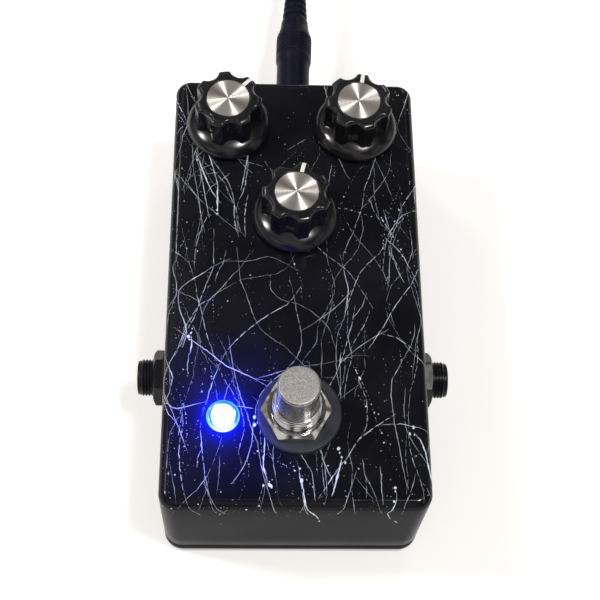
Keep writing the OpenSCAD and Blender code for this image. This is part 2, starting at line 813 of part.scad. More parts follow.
// Places what is drawn upside down on the board's lower face
module under_board(x, y) {
    in_case() translate([x, board_y + y, board_z]) mirror([0, 0, 1]) children();
}

module ic_chips() {
    for (x = [-chip_x, chip_x]) under_board(x, chip_y) {
        color([0.1, 0.1, 0.1]) translate([-chip_size[0] / 2, -chip_size[1] / 2, chip_lift]) cube(chip_size);
        color("silver") for (k = [0:3], s = [-1, 1])
            translate([s * leg_x - leg_size[0] / 2, (k - 1.5) * leg_pitch - leg_size[1] / 2, 0])
                cube(leg_size);
    }
}

module electrolytic_capacitors() {
    color([0.1, 0.12, 0.3]) for (c = round_caps) under_board(c[0], c[1]) cylinder(r = c[2], h = c[3]);
}

module film_capacitors() {
    color([0.75, 0.1, 0.08]) for (c = film_caps) under_board(c[0], c[1])
        translate([-film_size[0] / 2, -film_size[1] / 2, film_lift]) cube(film_size);
}

module resistors() {
    color([0.3, 0.55, 0.75]) for (k = [0:7]) under_board(resistor_x + resistor_pitch * k, resistor_y)
        translate([0, 0, resistor_z]) rotate([90, 0, 0]) {
            cylinder(r = resistor_r, h = resistor_len, center = true);
            cylinder(r = resistor_lead_r, h = resistor_len + 2 * resistor_lead, center = true, $fn = 16);
        }
}

module diodes() {
    color([0.8, 0.35, 0.1]) for (k = [0:3]) under_board(diode_x + diode_pitch * k, diode_y)
        translate([0, 0, diode_r]) rotate([0, 90, 0]) {
            cylinder(r = diode_r, h = diode_len, center = true);
            cylinder(r = diode_lead_r, h = diode_len + 2 * diode_lead, center = true, $fn = 16);
        }
}

// Insulated wires from the audio jacks and the footswitch to the board
module signal_wires() {
    wires = [
        [[21.2, -20.3, 30.8], [23.5, -17, 32], [24.5, -12, 29.5], [24, -8.5, 25.5], [23, -6.5, 22.4]],
        [[9.2, -20.3, 30.8], [10.5, -16, 32], [11, -12, 29], [10, -8.5, 25.5], [9, -6.5, 22.4]],
        [[-21.2, -20.3, 30.8], [-23.5, -17, 32], [-24.5, -12, 29.5], [-24, -8.5, 25.5], [-23, -6.5, 22.4]],
        [[-9.2, -20.3, 30.8], [-10.5, -16, 32], [-11, -12, 29], [-10, -8.5, 25.5], [-9, -6.5, 22.4]],
        [[4.7, -32, 14.2], [6, -28, 10.5], [6.5, -20, 8.5], [6.5, -12, 9.5], [6, -6, 14], [6, -4.5, 19.8]],
        [[0, -32, 14.2], [0.5, -28, 10], [1, -20, 8], [0.5, -12, 9], [0, -6, 14], [0, -4.5, 19.8]],
        [[-4.7, -32, 14.2], [-6, -28, 10.5], [-6.5, -20, 8.5], [-6.5, -12, 9.5], [-6, -6, 14],
            [-6, -4.5, 19.8]]
    ];
    color([0.8, 0.75, 0.2]) in_case() for (w = wires) tube(smooth(w, wire_steps), hookup_r, wire_sides);
}

// Supply wires from the power jack to the rear edge of the board
module power_wires() {
    wires = [
        [[0, 38.8, 15.6], [-1.5, 36, 14], [-4.6, 32.5, 15], [-5.5, 30, 19.8]],
        [[2.9, 38.8, 22.9], [3.6, 37, 24.6], [4.8, 34.5, 24.4], [5.5, 32.5, 22.4]]
    ];
    color([0.8, 0.1, 0.1]) in_case() for (w = wires) tube(smooth(w, wire_steps), hookup_r, wire_sides);
}

// The light's two legs, carried on as sleeved wires to the footswitch's lugs
module led_wires() {
    wires = [
        [[-16.2, -37.5, 33.2], [-16.2, -37.5, 27], [-15, -37, 20], [-11.5, -36.7, 14.8], [-5.8, -36.7, 13.9]],
        [[-18.8, -37.5, 33.2], [-18.8, -37.6, 27], [-18, -39, 19.5], [-12.5, -41.4, 14.6],
            [-5.8, -41.4, 13.9]]
    ];
    color([0.2, 0.3, 0.8]) in_case() for (w = wires) tube(smooth(w, wire_steps), led_wire_r, wire_sides);
}

// Moulded plug drawn from its face along +Y
module plug_body() {
    profile = concat([[0, 0]], [for (p = plug_outline) [p[1], p[0]]], [[0, plug_len]]);
    rotate([-90, 0, 0]) rotate_extrude() polygon(profile);
}

// Hollow barrel drawn from the plug's face along -Y
module plug_barrel() {
    rotate([90, 0, 0]) difference() {
        cylinder(r = barrel_r, h = barrel_len);
        translate([0, 0, barrel_end_t]) cylinder(r = barrel_bore_r, h = barrel_len);
    }
}

module power_plug_body() {
    color([0.05, 0.05, 0.07]) in_case() translate([0, plug_y, socket_z]) rotate(-plug_lean) plug_body();
}

module power_plug_barrel() {
    color("silver") in_case() translate([0, plug_y - barrel_gap, socket_z]) plug_barrel();
}

module far_plug_body() {
    color([0.05, 0.05, 0.07]) translate(far_plug_pos) rotate(180) plug_body();
}

module far_plug_barrel() {
    color("silver") translate(far_plug_pos) rotate(180) plug_barrel();
}

module power_lead() {
    color([0.05, 0.05, 0.07]) for (route = [lead_route, tail_route]) tube(route, lead_d / 2);
}

module power_lead_coil() {
    color([0.06, 0.06, 0.08]) translate([coil_center[0], coil_center[1], 0]) rotate_extrude($fn = 64)
        translate([coil_r - lead_d / 2, 0]) square([lead_d, coil_h]);
}

// Strap round the coil's bundle of turns, on the side away from the far plug
module lead_tie() {
    inner = [lead_d + 2 * tie_gap, tie_w + 2 * cut, coil_h - 2 * tie_bite];
    color([0.1, 0.1, 0.1]) translate([coil_center[0] - coil_r, coil_center[1], 0]) difference() {
        translate([-inner[0] / 2 - tie_t, -tie_w / 2, 0])
            cube([inner[0] + 2 * tie_t, tie_w, inner[2] + 2 * tie_t]);
        translate([-inner[0] / 2, -inner[1] / 2, tie_t]) cube(inner);
    }
}

enclosure_body();
bottom_lid();
lid_screws();
rubber_feet();
main_pcb();
ic_chips();
electrolytic_capacitors();
film_capacitors();
resistors();
diodes();
jack_in_body();
jack_out_body();
jack_washers();
jack_nuts();
jack_contacts();
dc_jack_body();
dc_jack_nut();
dc_jack_contacts();
pot_left_housing();
pot_right_housing();
pot_center_housing();
pot_nuts();
pot_washers();
pot_terminals();
pot_left_shaft();
pot_right_shaft();
pot_center_shaft();
knob_left_cap();
knob_left_insert();
knob_left_pointer();
knob_left_set_screw();
knob_right_cap();
knob_right_insert();
knob_right_pointer();
knob_right_set_screw();
knob_center_cap();
knob_center_insert();
knob_center_pointer();
knob_center_set_screw();
footswitch_housing();
footswitch_bushing();
footswitch_button();
footswitch_spring();
footswitch_top_nut();
footswitch_back_nut();
footswitch_washer();
footswitch_lock_washer();
footswitch_lugs();
led_bezel();
led_lens();
led_wires();
signal_wires();
power_wires();
power_plug_body();
power_plug_barrel();
power_lead();
power_lead_coil();
lead_tie();
far_plug_body();
far_plug_barrel();
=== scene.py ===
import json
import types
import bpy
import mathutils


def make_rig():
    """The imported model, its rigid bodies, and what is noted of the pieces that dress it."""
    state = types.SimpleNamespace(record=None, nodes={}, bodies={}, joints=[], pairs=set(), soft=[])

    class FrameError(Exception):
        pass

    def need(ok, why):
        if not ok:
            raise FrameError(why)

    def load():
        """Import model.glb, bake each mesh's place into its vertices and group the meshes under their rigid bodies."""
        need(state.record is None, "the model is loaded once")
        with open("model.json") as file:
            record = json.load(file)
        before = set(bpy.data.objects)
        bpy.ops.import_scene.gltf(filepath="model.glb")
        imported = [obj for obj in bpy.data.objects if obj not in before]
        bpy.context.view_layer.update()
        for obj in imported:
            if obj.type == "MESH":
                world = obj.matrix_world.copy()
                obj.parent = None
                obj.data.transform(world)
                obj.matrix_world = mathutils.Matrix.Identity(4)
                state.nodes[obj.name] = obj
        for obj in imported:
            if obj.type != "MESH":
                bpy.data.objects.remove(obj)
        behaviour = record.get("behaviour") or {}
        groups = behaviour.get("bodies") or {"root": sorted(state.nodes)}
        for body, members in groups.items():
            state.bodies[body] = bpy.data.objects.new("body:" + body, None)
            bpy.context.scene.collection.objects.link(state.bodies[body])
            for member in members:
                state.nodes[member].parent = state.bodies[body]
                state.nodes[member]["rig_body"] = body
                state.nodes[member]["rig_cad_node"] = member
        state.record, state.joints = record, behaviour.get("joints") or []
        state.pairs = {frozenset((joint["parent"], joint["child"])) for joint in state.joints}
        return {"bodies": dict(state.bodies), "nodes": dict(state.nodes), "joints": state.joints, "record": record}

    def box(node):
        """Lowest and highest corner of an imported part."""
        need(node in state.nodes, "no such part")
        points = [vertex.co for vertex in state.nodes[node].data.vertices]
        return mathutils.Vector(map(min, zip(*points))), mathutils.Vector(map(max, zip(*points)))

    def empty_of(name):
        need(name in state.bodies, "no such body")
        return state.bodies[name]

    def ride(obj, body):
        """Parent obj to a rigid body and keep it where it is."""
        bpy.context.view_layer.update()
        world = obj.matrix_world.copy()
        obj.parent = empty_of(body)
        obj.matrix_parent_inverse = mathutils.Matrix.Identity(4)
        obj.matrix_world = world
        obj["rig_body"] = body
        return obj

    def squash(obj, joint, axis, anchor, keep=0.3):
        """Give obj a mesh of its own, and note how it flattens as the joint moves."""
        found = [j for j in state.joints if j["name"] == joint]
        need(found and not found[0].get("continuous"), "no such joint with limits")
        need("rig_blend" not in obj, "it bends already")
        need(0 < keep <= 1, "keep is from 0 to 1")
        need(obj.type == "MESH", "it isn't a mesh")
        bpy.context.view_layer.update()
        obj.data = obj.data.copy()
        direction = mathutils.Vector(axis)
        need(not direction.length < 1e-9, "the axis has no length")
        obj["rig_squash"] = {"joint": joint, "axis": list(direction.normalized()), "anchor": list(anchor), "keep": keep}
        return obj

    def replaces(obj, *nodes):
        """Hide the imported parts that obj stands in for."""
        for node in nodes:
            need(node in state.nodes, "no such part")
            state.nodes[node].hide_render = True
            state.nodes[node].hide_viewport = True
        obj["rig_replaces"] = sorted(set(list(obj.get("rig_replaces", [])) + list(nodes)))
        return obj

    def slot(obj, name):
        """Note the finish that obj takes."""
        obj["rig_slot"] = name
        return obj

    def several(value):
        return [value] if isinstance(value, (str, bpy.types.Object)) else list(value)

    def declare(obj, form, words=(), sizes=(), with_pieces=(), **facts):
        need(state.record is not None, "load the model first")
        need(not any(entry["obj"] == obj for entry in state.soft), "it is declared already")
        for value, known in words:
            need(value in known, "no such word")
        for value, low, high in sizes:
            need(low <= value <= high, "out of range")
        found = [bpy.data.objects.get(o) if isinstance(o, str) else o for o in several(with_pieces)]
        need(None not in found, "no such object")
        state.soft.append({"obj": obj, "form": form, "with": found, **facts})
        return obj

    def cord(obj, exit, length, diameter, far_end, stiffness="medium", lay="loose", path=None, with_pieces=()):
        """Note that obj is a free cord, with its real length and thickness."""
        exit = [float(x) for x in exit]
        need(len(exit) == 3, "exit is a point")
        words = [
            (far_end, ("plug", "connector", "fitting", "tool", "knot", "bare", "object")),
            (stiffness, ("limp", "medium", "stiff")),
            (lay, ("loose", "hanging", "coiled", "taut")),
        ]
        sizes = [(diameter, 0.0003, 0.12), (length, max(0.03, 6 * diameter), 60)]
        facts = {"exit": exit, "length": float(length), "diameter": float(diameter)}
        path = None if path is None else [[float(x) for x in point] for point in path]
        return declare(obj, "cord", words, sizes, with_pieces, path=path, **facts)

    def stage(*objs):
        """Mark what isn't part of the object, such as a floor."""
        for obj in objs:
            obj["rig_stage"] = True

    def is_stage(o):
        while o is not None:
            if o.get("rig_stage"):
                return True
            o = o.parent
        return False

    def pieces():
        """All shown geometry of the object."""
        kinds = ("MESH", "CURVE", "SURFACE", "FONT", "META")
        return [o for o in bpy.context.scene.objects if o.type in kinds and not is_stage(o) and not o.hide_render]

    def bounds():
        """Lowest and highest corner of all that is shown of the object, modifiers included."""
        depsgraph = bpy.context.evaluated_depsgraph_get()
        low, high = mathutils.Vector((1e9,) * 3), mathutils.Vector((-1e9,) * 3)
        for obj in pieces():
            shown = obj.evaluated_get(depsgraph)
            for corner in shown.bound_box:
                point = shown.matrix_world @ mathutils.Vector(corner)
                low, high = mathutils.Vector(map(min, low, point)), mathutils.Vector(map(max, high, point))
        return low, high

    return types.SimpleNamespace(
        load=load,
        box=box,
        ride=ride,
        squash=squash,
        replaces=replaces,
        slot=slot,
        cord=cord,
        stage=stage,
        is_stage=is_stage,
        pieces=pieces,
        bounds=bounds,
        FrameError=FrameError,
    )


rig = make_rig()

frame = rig.load()

import json
import random
from math import copysign, cos, exp, hypot, pi, radians, sin, sqrt, tan

import bpy
from mathutils import Matrix, Vector

cad_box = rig.bounds()
MM = 0.001
TAU = 2 * pi
scene = bpy.context.scene


# ------------ places taken from the frame

def corners(node):
    """The lowest and highest corner of a CAD node's box."""
    return [Vector(c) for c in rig.box(node)]


def middle(node):
    """The middle of a CAD node's box."""
    lo, hi = corners(node)
    return (lo + hi) / 2


CASE_LO, CASE_HI = corners("enclosure_body")
LID_LO, LID_HI = corners("bottom_lid")
CASE_Y = (CASE_LO.y + CASE_HI.y) / 2
TOP = CASE_HI.z
HALF_X = LID_HI.x
HALF_Y = (LID_HI.y - LID_LO.y) / 2
SEAM = LID_LO.z + 4.0 * MM     # where the case sits on its lid
GAP = 0.03 * MM                # half of the shut line there
LEAN = 0.7 * MM                # how far the walls lean in from foot to top
CORNER = 4.75 * MM
FILLET = 2.4 * MM
WALL = 2.2 * MM
CASE_H = TOP - LID_LO.z
CORE_X = HALF_X - CORNER
CORE_Y = HALF_Y - CORNER
KNOBS = ("left", "right", "center")


# ------------ camera

CAMERA_TURN = (5.477, 65.049, 5.64)         # yaw, pitch and roll in degrees
CAMERA_AT = (-10.618, -129.258, 304.404)    # mm from the middle of the lid's underside
CAMERA_LENS = 69.8
CAMERA_SENSOR = 36


def new_object(name, data):
    obj = bpy.data.objects.new(name, data)
    scene.collection.objects.link(obj)
    return obj


def add_camera():
    """A camera above the front edge, looking down the length of the pedal."""
    yaw, pitch, roll = CAMERA_TURN
    data = bpy.data.cameras.new("camera")
    data.sensor_width = CAMERA_SENSOR
    data.lens = CAMERA_LENS
    data.clip_start = 0.01
    x, y, z = (c * MM for c in CAMERA_AT)
    turn = turned(-yaw, "Z") @ turned(90 - pitch, "X") @ turned(roll, "Z")
    cam = new_object("camera", data)
    cam.matrix_world = moved(x, CASE_Y + y, LID_LO.z + z) @ turn
    scene.camera = cam


# ------------ mesh helpers

def moved(x, y, z):
    return Matrix.Translation((x, y, z))


def turned(degrees, axis):
    return Matrix.Rotation(radians(degrees), 4, axis)


def new_mesh(name, verts, faces):
    mesh = bpy.data.meshes.new(name)
    mesh.from_pydata([tuple(v) for v in verts], [], faces)
    return mesh


class Build:
    """Gathers closed forms, each a pair of vertices and faces, and makes them into one piece."""

    def __init__(self, form=None, place=None):
        self.verts = []
        self.faces = []
        if form:
            self.add(form, place)

    def add(self, form, place=None):
        verts, faces = form
        start = len(self.verts)
        self.verts += [place @ Vector(v) for v in verts] if place else [Vector(v) for v in verts]
        self.faces += [tuple(i + start for i in f) for f in faces]

    def piece(self, name, slot, nodes="", body="case", sharp=35, look=None):
        """A mesh that rides on a body, has its slot's look and stands for the named CAD nodes."""
        mesh = new_mesh(name, self.verts, self.faces)
        mesh.validate()
        mesh.update()
        mesh.shade_smooth()
        if sharp:
            mesh.set_sharp_from_angle(angle=radians(sharp))
        mesh.materials.append((look or LOOKS[slot]).made)
        obj = new_object(name, mesh)
        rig.ride(obj, body)
        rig.slot(obj, slot)
        if nodes:
            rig.replaces(obj, *nodes.split())
        return obj


def drill(obj, cutters):
    """Cuts the forms gathered in a Build out of a piece."""
    bit = new_object("drill", new_mesh("drill", cutters.verts, cutters.faces))
    cut = obj.modifiers.new("drill", "BOOLEAN")
    cut.operation, cut.solver, cut.object = "DIFFERENCE", "EXACT", bit
    bpy.context.view_layer.update()
    graph = bpy.context.evaluated_depsgraph_get()
    old, obj.data = obj.data, bpy.data.meshes.new_from_object(obj.evaluated_get(graph), depsgraph=graph)
    obj.modifiers.clear()
    bpy.data.objects.remove(bit)
    bpy.data.meshes.remove(old)


def loft(rings, closed=False):
    """Joins rings of equal count. The ends are closed with one face each, or joined in a loop."""
    count = len(rings[0])
    verts = [p for r in rings for p in r]
    faces = []
    for i in range(len(rings) if closed else len(rings) - 1):
        a, b = i * count, (i + 1) % len(rings) * count
        faces += [(a + k, a + (k + 1) % count, b + (k + 1) % count, b + k) for k in range(count)]
    if not closed:
        faces += [tuple(range(count - 1, -1, -1)), tuple((len(rings) - 1) * count + k for k in range(count))]
    return verts, faces


def eased(points):
    """A profile of (r, z, rounding) points with each corner rounded off by a short curve."""
    out = []
    steps = 3
    for i, p in enumerate(points):
        here = Vector(p[:2])
        if len(p) < 3 or i in (0, len(points) - 1):
            out.append(here)
            continue
        before, after = Vector(points[i - 1][:2]) - here, Vector(points[i + 1][:2]) - here
        a, b = (here + way.normalized() * min(p[2], way.length * 0.49) for way in (before, after))
        for s in range(steps + 1):
            t = s / steps
            out.append(a * (1 - t) ** 2 + here * 2 * t * (1 - t) + b * t * t)
    return out


def polar(r, angle, z):
    return Vector((r * cos(angle), r * sin(angle), z))


def quarter(steps, first=0):
    """The (sine, cosine) at each step of a quarter turn."""
    angles = [radians(90 * k / steps) for k in range(first, steps + 1)]
    return [(sin(a), cos(a)) for a in angles]


def rounded(half_a, half_b, radius, steps):
    """The (a, b) points round a rectangle with arcs centred on its corners, corner by corner."""
    out = []
    for side_a, side_b, start in ((1, 1, 0), (-1, 1, 90), (-1, -1, 180), (1, -1, 270)):
        for k in range(steps + 1):
            t = radians(start + 90 * k / steps)
            out.append((side_a * half_a + radius * cos(t), side_b * half_b + radius * sin(t)))
    return out


def lathe(points, count=96, closed=False, shape=None):
    """Turns a profile of (r, z[, rounding]) in mm about Z. shape(angle, r, z) may reshape each ring."""
    rings = []
    for r, z in eased(points):
        ring = []
        for a in (TAU * k / count for k in range(count)):
            at_r, at_z = shape(a, r, z) if shape else (r, z)
            ring.append(polar(at_r, a, at_z) * MM)
        rings.append(ring)
    return loft(rings, closed)


def rod(radius, low, high, count=64):
    return lathe([(0, low), (radius, low), (radius, high), (0, high)], count)


def hexagon(angle, flats):
    """Radius of a hexagon with slightly softened corners at an angle."""
    soft = 0.06
    a = (angle + pi / 6) % (pi / 3) - pi / 6
    edge = flats / 2 / cos(a)
    corner = flats / 2 / cos(pi / 6)
    return edge - soft * max(0, 1 - (corner - edge) / (4 * soft)) ** 2


def hex_nut(flats, bore, height, dome=30, start=None, both=False):
    """Hexagon nut in mm, on z=0, its corners cut by a cone from start outward, on top or both sides."""
    count = 144
    start = start or flats / 2 * 0.96
    slope = tan(radians(dome))

    def ring(r_at, z_at):
        angles = [TAU * k / count for k in range(count)]
        return [polar(r_at(a), a, z_at(r_at(a))) * MM for a in angles]

    def plain(r, z):
        return ring(lambda a: r, lambda r: z)

    def hexed(t, z_at):
        return ring(lambda a: start + (hexagon(a, flats) - start) * t, z_at)

    def upper(r):
        return height - max(0, r - start) * slope

    def lower(r):
        return max(0, r - start) * slope if both else 0

    rings = [plain(bore, 0.25), plain(bore + 0.3, 0)]
    rings += [hexed(t, lower) for t in ((0, 0.5, 1) if both else (1,))]
    rings += [hexed(t, upper) for t in (1, 0.85, 0.6, 0.3, 0)]
    rings += [plain(start - 0.15, height), plain(bore + 0.35, height), plain(bore, height - 0.3)]
    return loft(rings, closed=True)


def grooved(r, z0, z1, pitch, depth):
    """Profile of a screw thread's crests and roots between two heights."""
    out = []
    z = z0
    while z + pitch <= z1:
        out += [(r - depth, z + 0.05 * pitch), (r, z + 0.4 * pitch), (r, z + 0.6 * pitch),
                (r - depth, z + 0.95 * pitch)]
        z += pitch
    return out


def smooth_curve(points, steps=3):
    """Catmull-Rom points between the given ones."""
    out = []
    for i in range(len(points) - 1):
        a, b, c, d = (points[max(0, min(len(points) - 1, j))] for j in (i - 1, i, i + 1, i + 2))
        for s in range(steps):
            t = s / steps
            out.append((2 * b + (c - a) * t + (2 * a - 5 * b + 4 * c - d) * t * t
                        + (3 * b - a - 3 * c + d) * t ** 3) / 2)
    return out + [points[-1]]


def tube(points, radius, sides):
    """Rings of a round tube along points, each turned as little as possible from the last."""
    rings = []
    normal = None
    for i, p in enumerate(points):
        ahead = (points[min(i + 1, len(points) - 1)] - points[max(i - 1, 0)]).normalized()
        if normal is None:
            normal = ahead.cross(Vector((0.2, 0.3, 0.9))).normalized()
        normal = (normal - ahead * normal.dot(ahead)).normalized()
        side = ahead.cross(normal)
        rings.append([p + (normal * cos(TAU * k / sides) + side * sin(TAU * k / sides)) * radius
                      for k in range(sides)])
    return loft(rings)


# ------------ material helpers

class Nodes:
    """Short calls for building a node tree round one shader. An input is a plain value or an output."""

    def __init__(self, name, kind="materials", shader="Principled BSDF", coords="Object", **values):
        self.made = getattr(bpy.data, kind).new(name)
        self.made.use_nodes = True
        self.tree = self.made.node_tree
        self.shader = self.tree.nodes[shader]
        self.place = self.node("TexCoord").outputs[coords]
        self.set(**values)

    def feed(self, socket, value):
        if isinstance(value, bpy.types.NodeSocket):
            self.tree.links.new(value, socket)
        else:
            socket.default_value = value

    def set(self, **values):
        """Sets or links the shader's inputs."""
        for key, value in values.items():
            self.feed(self.shader.inputs[key.replace("_", " ")], value)

    def node(self, kind, inputs=(), **props):
        n = self.tree.nodes.new("ShaderNode" + kind)
        for key, value in props.items():
            setattr(n, key, value)
        for key, value in dict(inputs).items():
            self.feed(n.inputs[key], value)
        return n

    def math(self, op, a, b):
        return self.node("Math", {0: a, 1: b}, operation=op).outputs[0]

    def noise(self, scale, detail, stretch=None, rough=0.55):
        place = self.mapped(Scale=stretch) if stretch else self.place
        inputs = {"Vector": place, "Scale": scale, "Detail": detail, "Roughness": rough}
        return self.node("TexNoise", inputs).outputs["Fac"]

    def mapped(self, **values):
        return self.node("Mapping", {"Vector": self.place, **values}).outputs[0]

    def cells(self, scale, feature="F1"):
        inputs = {"Vector": self.place, "Scale": scale}
        return self.node("TexVoronoi", inputs, feature=feature).outputs["Distance"]

    def split(self, vector):
        return self.node("SeparateXYZ", {0: vector}).outputs

    def upward(self):
        """How far the surface faces up, from -1 to 1."""
        return self.split(self.node("TexCoord").outputs["Normal"])[2]

    def ramp(self, fac, *stops):
        """Colours by position. One number stands for a grey."""
        n = self.node("ValToRGB")
        while len(n.color_ramp.elements) < len(stops):
            n.color_ramp.elements.new(0.5)
        for e, (pos, col) in zip(n.color_ramp.elements, stops):
            e.position = pos
            e.color = (*col, 1) if isinstance(col, tuple) else (col, col, col, 1)
        self.feed(n.inputs["Fac"], fac)
        return n.outputs["Color"]

    def span(self, fac, lo, hi, a=0.0, b=1.0):
        """Moves a value from the range a to b into lo to hi."""
        inputs = {"Value": fac, "From Min": a, "From Max": b, "To Min": lo, "To Max": hi}
        return self.node("MapRange", inputs).outputs[0]

    def mix(self, fac, a, b):
        a, b = ((*c, 1) if isinstance(c, tuple) else c for c in (a, b))
        return self.node("Mix", {0: fac, 6: a, 7: b}, data_type="RGBA").outputs[2]

    def mottle(self, scale, detail, dark, light):
        """A base colour that drifts between two tones."""
        self.set(Base_Color=self.ramp(self.noise(scale, detail), (0.3, dark), (0.7, light)))

    def gloss(self, scale, detail, lo, hi, a=0.0, b=1.0, stretch=None):
        """An uneven roughness."""
        self.set(Roughness=self.span(self.noise(scale, detail, stretch), lo, hi, a, b))

    def bump(self, height, strength, distance):
        inputs = {"Height": height, "Strength": strength, "Distance": distance * MM}
        self.set(Normal=self.node("Bump", inputs).outputs[0])

    def glow(self, color, strength):
        self.set(Emission_Color=color, Emission_Strength=strength)

    def round_grain(self):
        """Turns the sheen so that it runs round the piece's Z axis."""
        self.set(Tangent=self.node("Tangent", direction_type="RADIAL", axis="Z").outputs[0])


def plastic(name, dark, light, rough, grain=2500, strength=0.15, coat=0.0, ior=1.5):
    """Moulded plastic or rubber: slight mottling, a fine grain and uneven gloss."""
    m = Nodes(name, IOR=ior, Coat_Weight=coat, Coat_Roughness=0.08)
    m.mottle(180, 5, dark, light)
    m.gloss(420, 4, *rough, 0.3, 0.7)
    m.bump(m.noise(grain, 3), strength, 0.03)
    return m


def metal(name, dark, light, rough, stretch=None, strength=0.15):
    """Bare or plated metal with a tarnish variation and fine machining lines."""
    m = Nodes(name, Metallic=1.0)
    m.mottle(260, 5, dark, light)
    m.gloss(900, 4, *rough, 0.3, 0.7, stretch)
    m.bump(m.noise(1800, 2, stretch), strength, 0.02)
    return m


# ------------ materials

def from_light(m):
    """Distance from the status light's foot on the panel, in metres, and how far behind it."""
    at = middle("led_lens")
    place = m.mapped(Location=(-at.x, -at.y, -TOP))
    return m.node("VectorMath", {0: place}, operation="LENGTH").outputs["Value"], m.split(place)[1]


def case_paint(name, lit):
    """Gloss black powder coat: faint orange peel, dust-fine white specks and, if lit, a painted glow: the status
    light's blue halo, emitted by the paint round it.
    """
    m = Nodes(name, IOR=1.2)
    m.set(IOR=m.span(m.upward(), 1.05, 1.26, 0.1, 0.6))
    if lit:
        # Painted light: the paint emits a blue halo that fades out over 24 mm from the status light, in place of the
        # light the lens throws on the panel.
        reach = 24 * MM
        painted_halo = m.ramp(m.math("MULTIPLY", from_light(m)[0], 1 / reach),
                      (0.17, (0, 0.01, 1.0)), (0.2, (0, 0.004, 0.7)), (0.245, (0, 0.0015, 0.34)),
                      (0.31, (0, 0.0008, 0.11)), (0.37, (0, 0.0006, 0.055)), (0.5, (0, 0.0003, 0.02)),
                      (1.0, 0.0))
        m.glow(painted_halo, 1.0)
    specks = m.cells(520)
    keep = m.math("GREATER_THAN", m.noise(900, 2), 0.6)
    dots = m.math("MULTIPLY", m.math("LESS_THAN", specks, 0.055), keep)
    base = m.ramp(m.noise(60, 5), (0.35, (0.004, 0.004, 0.006)), (0.7, (0.009, 0.009, 0.013)))
    m.set(Base_Color=m.mix(dots, base, (0.5, 0.54, 0.58)))
    m.gloss(95, 6, 0.1, 0.2, 0.35, 0.7)
    m.bump(m.math("ADD", m.noise(650, 2), m.math("MULTIPLY", dots, 0.6)), 0.12, 0.04)
    return m


def web_paint():
    """The white spatter on top: thick glossy enamel, its tone drifting at random between bluish white and white."""
    m = Nodes("web_paint", Coat_Weight=0.3, Coat_Roughness=0.1)
    m.mottle(300, 4, (0.6, 0.73, 0.86), (0.86, 0.94, 1.0))
    m.gloss(500, 3, 0.25, 0.5)
    m.bump(m.noise(1500, 2), 0.2, 0.03)
    return m


def knob_plastic():
    """Polished phenolic: near-black, glossy, with faint swirl marks and dust."""
    m = Nodes("knob_plastic")
    dust = m.math("LESS_THAN", m.cells(1400), 0.05)
    dust = m.math("MULTIPLY", dust, m.math("GREATER_THAN", m.noise(700, 2), 0.62))
    base = m.ramp(m.noise(150, 4), (0.3, (0.004, 0.004, 0.005)), (0.7, (0.010, 0.010, 0.012)))
    m.set(Base_Color=m.mix(dust, base, (0.12, 0.12, 0.13)))
    m.gloss(240, 6, 0.15, 0.26, 0.35, 0.7, stretch=(1, 1, 0.4))
    m.bump(m.noise(1800, 2), 0.06, 0.02)
    return m


def spun_metal(name, centre):
    """A faced aluminium disc: fine circular turning lines round its own centre."""
    m = Nodes(name, Metallic=1.0, Anisotropic=1.0, Anisotropic_Rotation=0.25)
    x, y, _ = m.split(m.mapped(Location=tuple(-c for c in centre)))
    radius = m.math("POWER", m.math("ADD", m.math("POWER", x, 2), m.math("POWER", y, 2)), 0.5)
    line = m.node("TexNoise", {"Scale": 9000, "Detail": 3, "W": radius}, noise_dimensions="1D").outputs["Fac"]
    m.set(Base_Color=m.ramp(line, (0.35, (0.7, 0.66, 0.62)), (0.65, (0.92, 0.88, 0.84))),
          Roughness=m.span(line, 0.3, 0.4, 0.3, 0.7))
    m.bump(line, 0.06, 0.01)
    m.round_grain()
    return m


def button_metal():
    """The plated button: bright sides, a top worn matt and finely pitted."""
    m = Nodes("button_metal", Metallic=1.0, Anisotropic=0.6, Anisotropic_Rotation=0.25)
    top = m.math("GREATER_THAN", m.upward(), 0.9)
    pits = m.math("LESS_THAN", m.cells(2600), 0.28)
    grain = m.noise(2200, 5)
    worn = m.ramp(grain, (0.3, (0.26, 0.255, 0.26)), (0.7, (0.46, 0.45, 0.45)))
    side = m.ramp(m.noise(700, 4, stretch=(1, 1, 0.04)), (0.35, (0.2, 0.2, 0.21)), (0.65, (0.42, 0.42, 0.43)))
    m.set(Base_Color=m.mix(top, side, m.mix(m.math("MULTIPLY", pits, 0.5), worn, (0.8, 0.79, 0.77))),
          Roughness=m.math("ADD", m.math("MULTIPLY", top, 0.2), m.span(grain, 0.22, 0.26)),
          Anisotropic=m.math("MULTIPLY", m.math("SUBTRACT", 1.0, top), 0.92))
    m.round_grain()
    m.bump(m.math("ADD", m.math("MULTIPLY", grain, top), m.math("MULTIPLY", pits, top)), 0.25, 0.02)
    return m


def lit_bezel():
    """The bezel with a painted glow in place of the lens's light on it: white at its lip, then blue, with a cyan outer
    edge and front.
    """
    m = metal("bezel_chrome", (0.16, 0.17, 0.2), (0.26, 0.27, 0.3), (0.16, 0.26), strength=0.1)
    away, forward = from_light(m)
    # Painted light: emitted rings by distance from the light, and a cyan tint toward its front side, stand in for the
    # lens's light and reflections on the chrome.
    ring = m.ramp(m.math("MULTIPLY", away, 1 / (4 * MM)), (0.72, (0.9, 1.0, 1.0)), (0.78, (0, 0.4, 1.0)),
                  (0.86, (0, 0.08, 1.0)), (0.93, (0, 0.35, 1.0)), (0.98, (0.15, 0.85, 1.0)))
    front = m.span(m.math("DIVIDE", forward, away), 0.0, 1.0, -0.45, -0.95)
    m.glow(m.mix(front, ring, (0.75, 1.0, 1.0)), 1.05)
    return m


